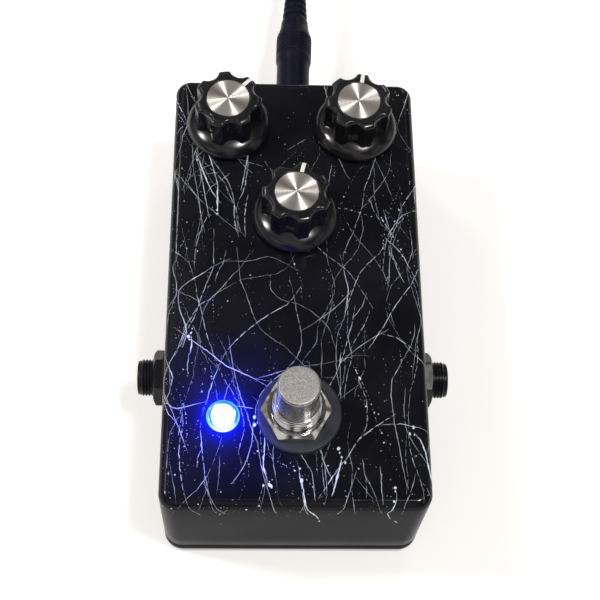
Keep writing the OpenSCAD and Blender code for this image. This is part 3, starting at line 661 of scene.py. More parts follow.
def lit_lens():
    """The lit blue lens, so bright that it whitens in the middle."""
    m = Nodes("lit_lens", Coat_Weight=0.3)
    m.glow(m.ramp(m.math("MULTIPLY", from_light(m)[0], 1 / (2.6 * MM)), (0.0, (0.05, 0.09, 1.0)),
                  (1.0, (0.045, 0.08, 1.0))), 26)
    m.mottle(900, 3, (0.35, 0.65, 0.95), (0.5, 0.75, 1.0))
    m.gloss(800, 3, 0.08, 0.2)
    m.bump(m.noise(1500, 2), 0.05, 0.02)
    return m


def circuit_board():
    """Green solder mask over copper tracks, with tinned pads and a dusty sheen."""
    m = Nodes("circuit_board", Coat_Weight=0.2, Coat_Roughness=0.25)
    tracks = m.math("LESS_THAN", m.cells(210, "DISTANCE_TO_EDGE"), 0.09)
    pads = m.math("LESS_THAN", m.cells(390), 0.16)
    mask = m.ramp(m.noise(120, 4), (0.3, (0.008, 0.09, 0.03)), (0.7, (0.015, 0.15, 0.05)))
    m.set(Base_Color=m.mix(pads, m.mix(tracks, mask, (0.05, 0.26, 0.08)), (0.62, 0.6, 0.56)))
    m.gloss(600, 4, 0.25, 0.45)
    m.bump(m.math("ADD", tracks, pads), 0.3, 0.04)
    return m


def banded(name, body, bands, pitch):
    """Small wired parts: a lacquered body with colour bands across it and a little mottling."""
    m = Nodes(name, Coat_Weight=0.3, Coat_Roughness=0.1)
    wave = m.node("TexWave", {"Scale": pitch, "Distortion": 0.0, "Vector": m.place}).outputs["Fac"]
    ground = m.ramp(m.noise(700, 3), (0.3, body), (0.7, tuple(min(1, 1.3 * c) for c in body)))
    m.set(Base_Color=m.mix(m.math("GREATER_THAN", wave, 0.8), ground, m.ramp(m.noise(350, 1), *bands)))
    m.gloss(900, 3, 0.2, 0.4)
    m.bump(m.noise(2200, 2), 0.15, 0.02)
    return m


# ------------ power lead

LEAD_D = 4.0 * MM
LEAD_ROUTE = [(1.46, 108.5, 22), (1.7, 114, 21.9), (2, 120, 21.4), (2.3, 127, 20.5), (2.5, 134, 19.6),
              (2.5, 141, 18.8), (2.5, 147, 18.2)]
TAIL_ROUTE = [(-12, 130, 2), (-4, 130, 2), (4, 130, 2), (9, 130.6, 2), (13.5, 132.7, 2.2),
              (17.5, 136, 2.6), (20.2, 140, 3.2), (21.6, 144.5, 4), (22, 149, 4.8), (22, 153.75, 5.3)]
COIL_CENTER = (-19.5, 152)
COIL_R = 22
COIL_PITCH = 4.2
COIL_TURNS = 3.75
COIL_STEPS = 24    # points to a turn
PLUG_SLEEVE = [(1.1, -0.9), (1.1, -9.5), (2.5, -9.5, 0.15), (2.75, -9.2, 0.1), (2.75, -6.6, 0.05),
               (2.7, -6.5, 0.05), (2.7, -6.2, 0.05), (2.75, -6.1, 0.05), (2.75, 0.0), (1.1, 0.0)]


def lead_line():
    """The lead's centreline: down to the coil, round it from top to bottom, and out to the far plug."""
    turns = []
    for k in range(int(COIL_TURNS * COIL_STEPS) + 1):
        a = TAU * k / COIL_STEPS
        z = 2 + COIL_PITCH * (COIL_TURNS - k / COIL_STEPS)
        turns.append((COIL_CENTER[0] + COIL_R * cos(a), COIL_CENTER[1] + COIL_R * sin(a), z))
    return [Vector(p) * MM for p in LEAD_ROUTE + turns + TAIL_ROUTE]


def plug_form():
    """Moulded barrel plug along its axis from its face: grip, taper and a notched strain relief, in mm."""
    length = 46.3
    outline = [(0.0, 0.0), (4.0, 0.0, 0.2), (4.8, 0.0, 0.7), (4.8, 15.0, 1.2), (5.25, 16.8, 1.0)]
    for k in range(7):
        z = 18.0 + 0.95 * k
        outline += [(5.25, z, 0.12), (5.0, z + 0.2, 0.1), (5.0, z + 0.4, 0.1), (5.25, z + 0.6, 0.12)]
    outline += [(5.2, 25.2, 1.0), (4.25, 28.0, 1.5), (3.95, 31.2, 0.4), (3.5, 32.0, 0.2)]
    for k in range(6):
        z = 32.9 + 2.25 * k
        r = 3.65 - 0.15 * k
        outline += [(r - 0.45, z, 0.15), (r, z + 0.15, 0.2), (r - 0.02, z + 1.35, 0.2),
                    (r - 0.47, z + 1.5, 0.15)]
    outline += [(2.6, length - 0.1, 0.2), (2.0, length, 0.1), (0.0, length)]
    return lathe(outline, count=72)


def add_lead():
    points = smooth_curve(lead_line())
    nodes = "power_lead power_lead_coil"
    lead = Build(tube(points, LEAD_D / 2, 16)).piece("power_lead_cable", "lead_black", nodes, sharp=0)
    near, far = middle("power_plug_barrel"), middle("far_plug_barrel")
    places = {
        "power_plug": moved(0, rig.box("power_plug_barrel")[1][1], near.z) @ turned(-1.8, "Z"),
        "far_plug": moved(far.x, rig.box("far_plug_barrel")[0][1], far.z) @ turned(180, "Z"),
    }
    for plug, place in places.items():
        place = place @ turned(-90, "X")
        shell = Build(plug_form(), place).piece(f"{plug}_shell", "plug_black", f"{plug}_body")
        sleeve = Build(lathe(PLUG_SLEEVE, 64, closed=True), place)
        sleeve = sleeve.piece(f"{plug}_sleeve", "plug_metal", f"{plug}_barrel")
    length = sum((b - a).length for a, b in zip(points, points[1:]))
    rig.cord(lead, exit=points[0], length=round(length, 3), diameter=LEAD_D, far_end="plug",
            stiffness="medium", lay="coiled", path=[tuple(p) for p in points],
            with_pieces=[shell, sleeve, add_tie()])


def add_tie():
    """Hook-and-loop strap round the coil."""
    lo, hi = corners("lead_tie")
    mid, size = (lo + hi) / 2 / MM, (hi - lo) / MM
    half_w, half_h, soft = size.x / 2 - 0.05, size.z / 2 - 0.05, 1.6

    def outline(inset, y):
        ring = []
        w, h, r = half_w - inset, half_h - inset, max(0.3, soft - inset)
        for k in range(64):
            c, s = cos(TAU * k / 64), sin(TAU * k / 64)
            x = copysign(w - r, c) + r * c if abs(c) > 1e-9 else 0
            z = copysign(h - r, s) + r * s if abs(s) > 1e-9 else 0
            ring.append((mid + Vector((x, y, z))) * MM)
        return ring

    w = size.y / 2
    section = ((0, -w + 0.2), (0, w - 0.2), (0.15, w), (0.65, w), (0.8, w - 0.2), (0.8, -w + 0.2), (0.65, -w),
               (0.15, -w))
    rings = [outline(*point) for point in section]
    return Build(loft(rings, closed=True)).piece("lead_strap", "tie_black", "lead_tie")


# ------------ enclosure

def block_ring(setback, z):
    """One level of the rounded block, set back from the lid's outline, in metres."""
    return [Vector((x, CASE_Y + y, z)) for x, y in rounded(CORE_X, CORE_Y, CORNER - setback, 14)]


def wall_setback(z):
    """How far the wall has leaned in at a height."""
    return LEAN * (z - LID_LO.z) / CASE_H


def add_case():
    """The shell, from its ceiling down the inside, over the foot and up the outside, then drilled."""
    soft = 0.35 * MM
    foot, top_set = wall_setback(SEAM), wall_setback(TOP)
    low, ceiling = SEAM + GAP, TOP - 2.4 * MM
    levels = [SEAM + part * (TOP - FILLET - SEAM) for part in (0.2, 0.4, 0.6, 0.8)]
    outline = [(WALL + wall_setback(z), z) for z in (ceiling, low)] + [(foot + soft, low)]
    outline += [(foot + soft * (1 - s), low + soft * (1 - c)) for s, c in quarter(4, 1)]
    outline += [(wall_setback(z), z) for z in levels]
    outline += [(top_set + FILLET * (1 - c), TOP - FILLET + FILLET * s) for s, c in quarter(12)]
    outline.append((top_set + FILLET + 0.3 * MM, TOP))
    case = Build(loft([block_ring(*p) for p in outline]))
    case = case.piece("case_shell", "painted_case", "enclosure_body", sharp=50)
    holes = Build()
    through_top = [(f"pot_{k}_shaft", 3.6) for k in KNOBS] + [("footswitch_button", 6.0), ("led_lens", 3.2)]
    for node, radius in through_top:
        at = middle(node)
        holes.add(rod(radius, -4, 4), moved(at.x, at.y, TOP))
    for node in ("jack_in_body", "jack_out_body"):
        at = middle(node)
        holes.add(rod(4.9, -5, 5), moved(copysign(HALF_X, at.x), at.y, at.z) @ turned(90, "Y"))
    z = middle("dc_jack_body").z
    holes.add(rod(5.9, -5, 5), moved(0, CASE_Y + HALF_Y, z) @ turned(90, "X"))
    drill(case, holes)
    case.data.shade_smooth()
    case.data.set_sharp_from_angle(angle=radians(32))


# ------------ white web spatter

STYLES = ("whole", "broken", "drops")
STEP = 0.45 * MM                        # between a thread's points
WIDTHS = (0.02, 0.03, 0.046, 0.075)     # half widths of the lone threads, mm
LENGTHS = (10, 18, 30, 45, 60)          # mm
SPECKS = (0.045, 0.07, 0.11, 0.18)      # radii, mm


SKIN_FLAT = CORNER - LEAN - FILLET
SKIN_BEND = FILLET * pi / 2


def on_case(u, v, lift):
    """The point (u, v) from the middle of the top, over the edge and down a wall, then lifted."""
    cu, cv = max(-CORE_X, min(CORE_X, u)), max(-CORE_Y, min(CORE_Y, v))
    du, dv = u - cu, v - cv
    d = hypot(du, dv)
    if d <= SKIN_FLAT:
        return Vector((u, CASE_Y + v, TOP + lift))
    s = d - SKIN_FLAT
    if s < SKIN_BEND:
        radial = SKIN_FLAT + (FILLET + lift) * sin(s / FILLET)
        z = TOP - FILLET + (FILLET + lift) * cos(s / FILLET)
    else:
        down = s - SKIN_BEND
        radial = SKIN_FLAT + FILLET + LEAN * down / CASE_H + lift
        z = TOP - FILLET - down
    return Vector((cu + du / d * radial, CASE_Y + cv + dv / d * radial, max(z, SEAM + 0.4 * MM)))


class Spatter:
    """Random threads of thrown enamel: each wanders, swells, beads, breaks up and forks."""

    def __init__(self, seed):
        self.rng = random.Random(seed)
        self.out = Build()
        self.reach_u = HALF_X - LEAN
        self.reach_v = HALF_Y - LEAN
        self.wall = CASE_H - 8 * MM

    def density(self, u, v):
        """How thick the spray fell, by place on the box."""
        a, b = u / HALF_X, v / HALF_Y
        left = exp(-((a + 0.95) / 0.4) ** 2)
        front = exp(-((b + 0.95) / 0.28) ** 2)
        right = exp(-((a - 0.85) / 0.25) ** 2)
        return min(1.0, 0.24 + 0.6 * left + 0.7 * front + 0.3 * right)

    def dot(self, u, v, radius, count, squeeze, heading):
        """A small domed drop, drawn out along its heading."""
        c, s = cos(heading), sin(heading)
        rings = []
        for t, h in ((1.0, -0.03), (0.8, 0.3), (0.4, 0.5)):
            ring = []
            for k in range(count):
                a = TAU * k / count
                x, y = radius * t * cos(a) * squeeze, radius * t * sin(a)
                ring.append(on_case(u + x * c - y * s, v + x * s + y * c, 0.01 * MM + radius * h))
            rings.append(ring)
        self.out.add(loft(rings))

    def ribbon(self, path, widths):
        """A closed domed ribbon along (u, v) points."""
        rings = []
        last = len(path) - 1
        for i, (u, v) in enumerate(path):
            a, b = path[max(0, i - 1)], path[min(last, i + 1)]
            dx, dy = b[0] - a[0], b[1] - a[1]
            span = hypot(dx, dy) or 1
            nx, ny = -dy / span, dx / span
            w = widths[i]
            rings.append([on_case(u + nx * w * side, v + ny * w * side, 0.008 * MM + w * h)
                          for side, h in ((-1, -0.03), (-0.55, 0.32), (0.55, 0.32), (1, -0.03))])
        self.out.add(loft(rings))

    def on_skin(self, u, v):
        """Whether a point lies on the top or a wall, clear of the seam and of the corners' edges."""
        beyond_u, beyond_v = abs(u) - self.reach_u, abs(v) - self.reach_v
        return max(beyond_u, beyond_v) < self.wall and min(beyond_u, beyond_v) < -2 * MM

    def walk(self, u, v, heading, length, width, step):
        """The (u, v, width, heading) points of one wandering thread."""
        rng = self.rng
        home, curl = heading, rng.choice((0.003, 0.0055, 0.0085))
        curve = rng.gauss(0, 2 * curl)
        bead_in = rng.randint(1, 7)
        swell = rng.gauss(0, 0.3)
        steps = max(4, int(length / step))
        out = []
        for i in range(steps):
            t = i / steps
            swell = 0.9 * swell + rng.gauss(0, 0.2)
            w = width * min(1, 4 * t + 0.3, 3 * (1 - t) + 0.2) * rng.uniform(0.6, 1.15)
            w *= exp(max(-1.1, min(0.6, swell)))
            bead_in -= 1
            if bead_in < 0:
                w *= rng.uniform(1.5, 2.6)
                bead_in = rng.randint(2, 8)
            side = rng.gauss(0, 0.1) * step
            out.append((u - sin(heading) * side, v + cos(heading) * side, w, heading))
            curve = 0.93 * curve + rng.gauss(0, curl) - 0.0022 * sin(heading - home)
            heading += curve
            if rng.random() < 0.05:
                heading += rng.choice((-1, 1)) * rng.uniform(0.08, 0.4)
            u += step * cos(heading)
            v += step * sin(heading)
            if not self.on_skin(u, v):
                break
        return out

    def thread(self, u, v, heading, length, width, style, depth=0):
        """Lays one thread: a whole line, a line in pieces, or a trail of drops."""
        rng = self.rng
        points = self.walk(u, v, heading, length, width, STEP)
        if style == "drops":
            i = 0.0
            while i < len(points):
                u, v, w, h = points[int(i)]
                self.dot(u, v, w * rng.uniform(0.8, 1.5), 6, rng.uniform(1, 2.4), h)
                i += rng.uniform(0.7, 3.6)
        else:
            run = []
            for point in points:
                run.append(point)
                if style == "broken" and len(run) > 3 and rng.random() < 0.17:
                    self.lay(run)
                    run = []
            self.lay(run)
        if depth > 1:
            return
        for i in range(4, len(points) - 6):
            if rng.random() < (0.013 if depth == 0 else 0.005):
                u, v, w, h = points[i]
                self.dot(u, v, w * 1.3, 8, 1.5, h)
                turn = rng.choice((-1, 1)) * rng.uniform(0.2, 0.75)
                self.thread(u, v, h + turn, rng.uniform(5, 24) * MM, width * rng.uniform(0.5, 0.8),
                            rng.choice(STYLES), depth + 1)

    def lay(self, run):
        """Lays one unbroken run of a thread, with its widths evened out and its ends drawn thin."""
        if len(run) < 3:
            return
        widths = [p[2] for p in run]
        before, after = widths[:1] + widths, widths[1:] + widths[-1:]
        widths = [(a + 2 * b + c) / 4 for a, b, c in zip(before, widths, after)]
        widths[0] *= 0.5
        widths[-1] *= 0.5
        self.ribbon([p[:2] for p in run], widths)

    def place(self):
        """A random start, kept more often where the spray is thick."""
        rng = self.rng
        while True:
            u = rng.uniform(-1.03, 1.03) * self.reach_u
            v = rng.uniform(-1.03, 1.0) * self.reach_v
            if rng.random() < self.density(u, v):
                return u, v

    def heading(self, spread):
        """Mostly along the box, either way."""
        return self.rng.choice((-1, 1)) * pi / 2 + self.rng.gauss(0, spread)

    def throw(self, threads, fans, drips, specks):
        """Lone threads, fans of threads from one place, thick drips with drops, and specks."""
        rng = self.rng
        for _ in range(threads):
            spread = 0.95 if rng.random() < 0.1 else 0.23
            width = rng.choices(WIDTHS, (5, 6, 3, 1))[0] * MM
            style = rng.choices(STYLES, (3, 5, 4))[0]
            self.thread(*self.place(), self.heading(spread), rng.choice(LENGTHS) * MM, width, style)
        for _ in range(fans):
            u, v = self.place()
            home = self.heading(0.2)
            for _ in range(rng.randint(3, 6)):
                style = rng.choice(STYLES)
                self.thread(u + rng.gauss(0, 1) * MM, v + rng.gauss(0, 1) * MM, home + rng.gauss(0, 0.28),
                            rng.uniform(12, 42) * MM, rng.uniform(0.024, 0.06) * MM, style)
        for _ in range(drips):
            u, v = self.place()
            self.thread(u, v, self.heading(0.3), rng.uniform(9, 30) * MM, rng.uniform(0.075, 0.14) * MM,
                        "whole")
            for _ in range(rng.randint(2, 5)):
                self.dot(u + rng.gauss(0, 0.5) * MM, v + rng.gauss(0, 1.2) * MM,
                         rng.uniform(0.15, 0.45) * MM, 10, rng.uniform(1, 1.8), self.heading(0.4))
        for _ in range(specks):
            u, v = self.place()
            self.dot(u, v, rng.choices(SPECKS, (8, 6, 2, 0.5))[0] * MM * rng.uniform(0.8, 1.3), 6,
                     rng.uniform(1, 1.4), rng.uniform(0, TAU))


def add_spatter():
    spray = Spatter(seed=41)
    spray.throw(threads=104, fans=10, drips=9, specks=600)
    spray.out.piece("web_spatter", "painted_case", sharp=0, look=web_paint())


# ------------ lid, screws and feet

def add_lid():
    soft = 0.9 * MM
    lip = WALL + 0.3 * MM
    tray = lip + 1.6 * MM
    rim = SEAM + 1.4 * MM
    outline = [(soft, LID_LO.z)] + [(soft * (1 - s), LID_LO.z + soft * (1 - c)) for s, c in quarter(6, 1)]
    outline += [(0, SEAM - 0.4 * MM), (0.08 * MM, SEAM - 0.2 * MM), (0.3 * MM, SEAM - GAP), (lip, SEAM - GAP),
                (lip, rim), (tray - 0.1 * MM, rim), (tray, rim), (tray, LID_LO.z + 2.4 * MM)]
    Build(loft([block_ring(*p) for p in outline])).piece("lid_plate", "painted_lid", "bottom_lid", sharp=40)


def four_of(node, inset):
    """Where the four equal parts of a CAD node stand, inset from its box."""
    lo, hi = corners(node)
    return [(x, y) for x in (lo.x + inset, hi.x - inset) for y in (lo.y + inset, hi.y - inset)]


def add_screws():
    """Countersunk screws with a cross recess, flush with the lid."""
    arm, half_t, deepest = 1.65, 0.36, 0.9

    def recess(angle, r, z):
        if r >= arm or z >= 0.02:
            return r, z
        near = min(abs(sin(angle + k * pi / 2 + pi / 4)) * r for k in (0, 1))
        return r, z + deepest * max(0, 1 - near / half_t) * (1 - (r / arm) ** 4)

    profile = [(0.01, 0)] + [(0.15 * k, 0) for k in range(1, 20)]
    profile += [(3.05, 0.02, 0.05), (1.7, 1.65), (1.7, 12), (0.01, 12)]
    screws = Build()
    for x, y in four_of("lid_screws", 3.1 * MM):
        screws.add(lathe(profile, shape=recess), moved(x, y, LID_LO.z + 0.05 * MM))
    screws.piece("lid_screw_set", "zinc_screw", "lid_screws")


def add_feet():
    profile = [(0, 0), (3.4, 0, 0.3), (3.7, 0.25, 0.2), (4.6, 0.05, 0.5), (5.1, 0.3, 0.4), (5.45, 1.99),
               (0, 1.99)]
    feet = Build()
    for x, y in four_of("rubber_feet", 5.5 * MM):
        feet.add(lathe(profile, 64), moved(x, y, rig.box("rubber_feet")[0][2]))
    feet.piece("rubber_foot_set", "foot_rubber", "rubber_feet")


# ------------ knobs

POINTER_CLOCKWISE = {"left": 44, "right": 9, "center": 13}    # degrees from straight back
LOBES = 7
KNOB_TOP = 13.4
GRIP = 8.8     # radius
SKIRT = 11.1   # radius


def crown(r):
    """Height in mm of a knob's top face: flat, then falling over a low round to the grip."""
    flat, drop = 7.3, 0.9
    if r <= flat:
        return KNOB_TOP
    part = min(1.0, (r - flat) / (GRIP - flat))
    return KNOB_TOP - drop * (1 - sqrt(1 - part * part))


def knob_form():
    """A knob in mm above the panel, pointing along +X: domed skirt and a grip with scooped flutes."""
    base, edge, shoulder = 0.8, 1.5, 4.1
    flute_r, deep, disc_edge = 3.2, 1.5, 6.3
    centre = GRIP - deep + flute_r
    step = TAU / LOBES

    def dome(r):
        """Height of the skirt's upper face."""
        d = r - GRIP
        return shoulder - 0.43 * d - 0.06 * d * d - (0.0325 * d ** 4 if d > 0 else 0)

    def scoop(angle):
        """How far the flute cuts in at an angle, with its two edges slightly eased."""
        a = abs(angle % step - step / 2)
        inside = flute_r ** 2 - (centre * sin(a)) ** 2
        depth = GRIP - centre * cos(a) + sqrt(inside) if inside > 0 else -1.0
        return 0.5 * (depth + sqrt(depth * depth + 0.012)) if depth > -0.6 else 0.01

    def shape(angle, r, z):
        """Cuts the flutes, fading out at the shoulder and toward the disc. Vectors hold r to 0.001 mm."""
        if r > GRIP + 0.001 or r < disc_edge or z < dome(GRIP):
            return r, z
        cut = scoop(angle)
        if z < shoulder + 0.5:
            r = GRIP - cut * (z - shoulder) / 0.5
            return r, dome(r)
        if z < shoulder + 1:
            r = GRIP - cut
            return r, dome(r) + (z - shoulder - 0.5) * 0.6
        return r - cut * min(1.0, (r - disc_edge) / 2), z

    profile = [(6.4, base), (10.75, base, 0.2), (SKIRT, base + 0.35, 0.25), (SKIRT, base + 1.1),
               (SKIRT - 0.03, base + 1.2)]
    profile += [(r, dome(r)) for r in (11.0 - 2.19 * k / 22 for k in range(23))]
    profile += [(GRIP, shoulder + 0.5 * k / 4) for k in range(5)]
    profile += [(GRIP, z) for z in (shoulder + 0.6, shoulder + 0.8, 5.6, 7.0, 8.8, 10.4, 11.8, crown(GRIP))]
    profile += [(r, crown(r)) for r in (GRIP - edge + edge * c for _, c in quarter(10, 1))]
    profile += [(r, KNOB_TOP) for r in (7.1, 6.8, 6.4)]
    profile += [(5.78, KNOB_TOP, 0.1), (5.56, KNOB_TOP - 0.2, 0.1), (5.56, 12.15), (3.0, 12.15), (3.0, 5.2),
                (6.4, 5.2)]
    return lathe(profile, count=LOBES * 40, closed=True, shape=shape)


def pointer_form():
    """The painted line: from the disc over the top face and down the grip, as a low ridge."""
    half = 0.5
    left = ((-half, -0.06), (-half, 0.01), (-half * 0.8, 0.035))
    section = (*left, *((-y, h) for y, h in reversed(left)))
    path = [(r, crown(r)) for r in (5.62, 6.4, 7.3, 7.7, 8.0, 8.25, 8.45, 8.6, 8.7, 8.77, 8.8)]
    path += [(8.81, 12.1), (8.81, 11.6)]
    rings = []
    for i, (r, z) in enumerate(path):
        a, b = path[max(0, i - 1)], path[min(len(path) - 1, i + 1)]
        along = Vector((b[0] - a[0], b[1] - a[1])).normalized()
        nx, nz = -along.y, along.x
        out = 1 if nx * r + nz * z > 0 else -1
        rings.append([Vector((r + nx * out * h, y, z + nz * out * h)) * MM for y, h in section])
    return loft(rings)


def add_knob(which):
    body = f"{which}_knob"
    shaft = middle(f"pot_{which}_shaft")
    place = moved(shaft.x, shaft.y, TOP) @ turned(90 - POINTER_CLOCKWISE[which], "Z")

    def piece(form, part, slot, node, sharp=35, look=None):
        return Build(form, place).piece(f"{body}_{part}", slot, f"knob_{which}_{node}", body, sharp, look)

    grip = piece(knob_form(), "grip", "knob_black", "cap", sharp=30)
    screw_hole = place @ moved(-6.6 * MM, 0, 7 * MM) @ turned(-90, "Y")
    drill(grip, Build(rod(1.5, -0.6, 3, 32), screw_hole))
    disc = [(0, 12.2), (5.5, 12.2), (5.5, 13.35), (5.44, 13.4)]
    disc += [(5.25 - 0.25 * k, 13.4) for k in range(21)] + [(0, 13.39)]
    spun = spun_metal(f"spun_disc_{which}", (shaft.x, shaft.y, 0))
    piece(lathe(disc), "disc", "knob_insert", "insert", look=spun)
    piece(pointer_form(), "line", "pointer_white", "pointer", sharp=40)


# ------------ footswitch and light

def add_footswitch():
    at = middle("footswitch_button")
    here = moved(at.x, at.y, TOP)
    low = (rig.box("footswitch_bushing")[0][2] - TOP) / MM
    collar = [(5.05, low), (5.4, low, 0.2)] + grooved(5.9, low + 0.3, 6.6, 0.75, 0.35)
    collar += [(5.55, 6.75), (5.85, 6.85, 0.15), (5.9, 7.5, 0.2), (5.5, 7.75, 0.15), (5.42, 8.1, 0.1),
               (5.4, 8.38, 0.12), (5.05, 8.4, 0.05)]
    collar = Build(lathe(collar, closed=True), here)
    collar.piece("switch_collar", "switch_chrome", "footswitch_bushing", sharp=30)
    nut = Build(hex_nut(15, 5.92, 3.2, dome=38, start=7.0), here @ moved(0, 0, MM) @ turned(30, "Z"))
    nut.piece("switch_nut", "switch_chrome", "footswitch_top_nut", sharp=28)
    washer = [(6.85, 0.02), (10.25, 0.02, 0.1), (10.3, 0.5, 0.2), (9.9, 1.0, 0.25), (6.95, 0.99, 0.1)]
    ring_at = middle("footswitch_washer")
    washer = Build(lathe(washer, closed=True), moved(ring_at.x, ring_at.y, TOP))
    washer.piece("switch_washer", "washer_grey", "footswitch_washer", sharp=40)
    low = (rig.box("footswitch_button")[0][2] - TOP) / MM
    stem = [(0, low), (5.45, low, 0.1), (5.45, low + 1.6, 0.1), (5.0, low + 1.6), (5.0, 8.0), (5.0, 12),
            (5.0, 18.95, 0.1), (4.93, 19.2, 0.1), (4.62, 19.47, 0.08), (4.4, 19.5)]
    stem += [(4.4 - 0.4 * k, 19.5) for k in range(1, 11)] + [(0, 19.5)]
    Build(lathe(stem), here).piece("switch_button", "button_steel", "footswitch_button", "stomp", 30)


def add_spring():
    """The return spring: its top goes down with the button while its foot stays where it is."""
    lo, hi = corners("footswitch_spring")
    at = (lo + hi) / 2
    wire, turns, steps, travel = 0.4 * MM, 6, 24, 3.5 * MM
    radius = (hi.x - lo.x) / 2 - wire
    tall = hi.z - lo.z - 2 * wire
    line = [Vector((at.x, at.y, lo.z + wire)) + polar(radius, TAU * k / steps, tall * k / (turns * steps))
            for k in range(turns * steps + 1)]
    spring = Build(tube(line, wire, 10)).piece("switch_spring", "spring_steel", "footswitch_spring", "stomp")
    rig.squash(spring, "footswitch_press", axis=(0, 0, 1), anchor=(at.x, at.y, hi.z),
              keep=1 - travel / (hi.z - lo.z))


def add_light():
    at = middle("led_lens")
    here = moved(at.x, at.y, TOP)
    low = -7
    lip = [(2.62, low), (3.0, low, 0.1)] + grooved(3.1, low + 0.2, -0.6, 0.5, 0.2)
    lip += [(3.0, 0.0), (3.98, 0.0, 0.05), (4.0, 0.3, 0.2), (3.75, 0.8, 0.3), (3.2, 1.0, 0.25),
            (2.75, 0.75, 0.1)]
    bezel = Build(lathe(lip, closed=True), here)
    bezel.add(hex_nut(8, 3.12, 2, both=True), moved(at.x, at.y, TOP - 4.6 * MM))
    bezel.piece("light_bezel", "bezel_chrome", "led_bezel", sharp=30)
    arc = [radians(6 * k) for k in range(1, 15)]
    lens = [(0, -6), (2.5, -6, 0.1), (2.5, -0.1)]
    lens += [(2.5 * cos(a), -0.1 + 2.5 * sin(a)) for a in arc] + [(0, 2.4)]
    Build(lathe(lens, 64), here).piece("light_lens", "led_blue", "led_lens")


# ------------ sockets

def soft_box(lo, hi, soft):
    """A box with rounded upright edges and eased ends, lofted along X."""
    mid, half = (lo + hi) / 2, (hi - lo) / 2
    ease = soft * 0.6
    levels = ((lo.x, ease), (lo.x + ease, 0), (hi.x - ease, 0), (hi.x, ease))
    return loft([[Vector((x, mid.y + a, mid.z + b))
                  for a, b in rounded(half.y - soft, half.z - soft, soft - inset, 4)] for x, inset in levels])


def add_jacks():
    nuts, washers = Build(), Build()
    for node, side in (("jack_in_body", 1), ("jack_out_body", -1)):
        lo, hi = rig.box(node)
        at = middle(node)
        reach = abs(hi[0] if side > 0 else lo[0]) / MM
        wall = (HALF_X - wall_setback(at.z)) / MM
        turn = turned(side * 90, "Y")
        place = moved(0, at.y, at.z) @ turn
        nose = [(3.25, reach - 31), (4.2, reach - 31)] + grooved(4.75, wall - 3, reach - 0.6, 0.794, 0.33)
        nose += [(4.45, reach - 0.45, 0.1), (4.3, reach, 0.15), (3.55, reach, 0.1), (3.25, reach - 0.35, 0.1)]
        body = Build(lathe(nose, 80, closed=True), place)
        inner = HALF_X - WALL - 0.5 * MM
        left, right = sorted((side * inner, side * (inner - 24 * MM)))
        body.add(soft_box(Vector((left, *lo[1:])), Vector((right, *hi[1:])), 0.5 * MM))
        body.piece(f"{node}_shell", "jack_black", node, sharp=30)
        washer = [(4.85, wall), (7.1, wall, 0.1), (7.15, wall + 0.7, 0.2), (6.9, wall + 1.0, 0.15),
                  (5.0, wall + 1.0, 0.1)]
        washers.add(lathe(washer, 80, closed=True), place)
        seat = moved(side * (wall + 1.0) * MM, at.y, at.z) @ turn
        nuts.add(hex_nut(12.7, 4.77, 2.4, dome=28), seat @ turned(12 * side, "Z"))
    washers.piece("jack_washer_pair", "jack_washer_black", "jack_washers")
    nuts.piece("jack_nut_pair", "jack_nut_black", "jack_nuts", sharp=28)


def add_power_socket():
    lo, hi = corners("dc_jack_body")
    z = (lo.z + hi.z) / 2
    along = moved(0, CASE_Y, z) @ turned(-90, "X")
    out, back = (hi.y - CASE_Y) / MM, (lo.y - CASE_Y) / MM
    form = [(0.0, back), (6.7, back, 0.4), (6.8, back + 13.9, 0.2), (5.45, back + 14)]
    form += grooved(5.8, back + 14.2, out - 0.3, 1.0, 0.35)
    form += [(5.5, out, 0.15), (3.15, out, 0.1), (2.85, out - 0.3, 0.1), (2.85, out - 11), (0.0, out - 11)]
    Build(lathe(form, 80), along).piece("power_socket", "jack_black", "dc_jack_body", sharp=30)
    nut = Build(hex_nut(14, 5.82, 2.2, dome=28), along @ moved(0, 0, HALF_Y - wall_setback(z)))
    nut.piece("power_socket_nut", "jack_nut_black", "dc_jack_nut", sharp=28)


# ------------ studio

LAMPS = (    # name, level part of the direction, size in metres, watts, colour
    ("left_lamp", (-0.61, 0.1), 0.12, 3.6, (1.0, 0.98, 0.95)),
    ("right_lamp", (0.25, -0.13), 0.12, 3.8, (1.0, 0.98, 0.95)),
    ("rear_lamp", (0.33, 0.72), 0.14, 0.6, (0.95, 0.97, 1.0)),
    ("side_lamp", (-0.45, 0.49), 0.12, 0.8, (1.0, 0.97, 0.94)),
)


def new_lamp(name, kind, power, color):
    data = bpy.data.lights.new(name, kind)
    data.energy = power
    data.color = color
    return new_object(name, data)


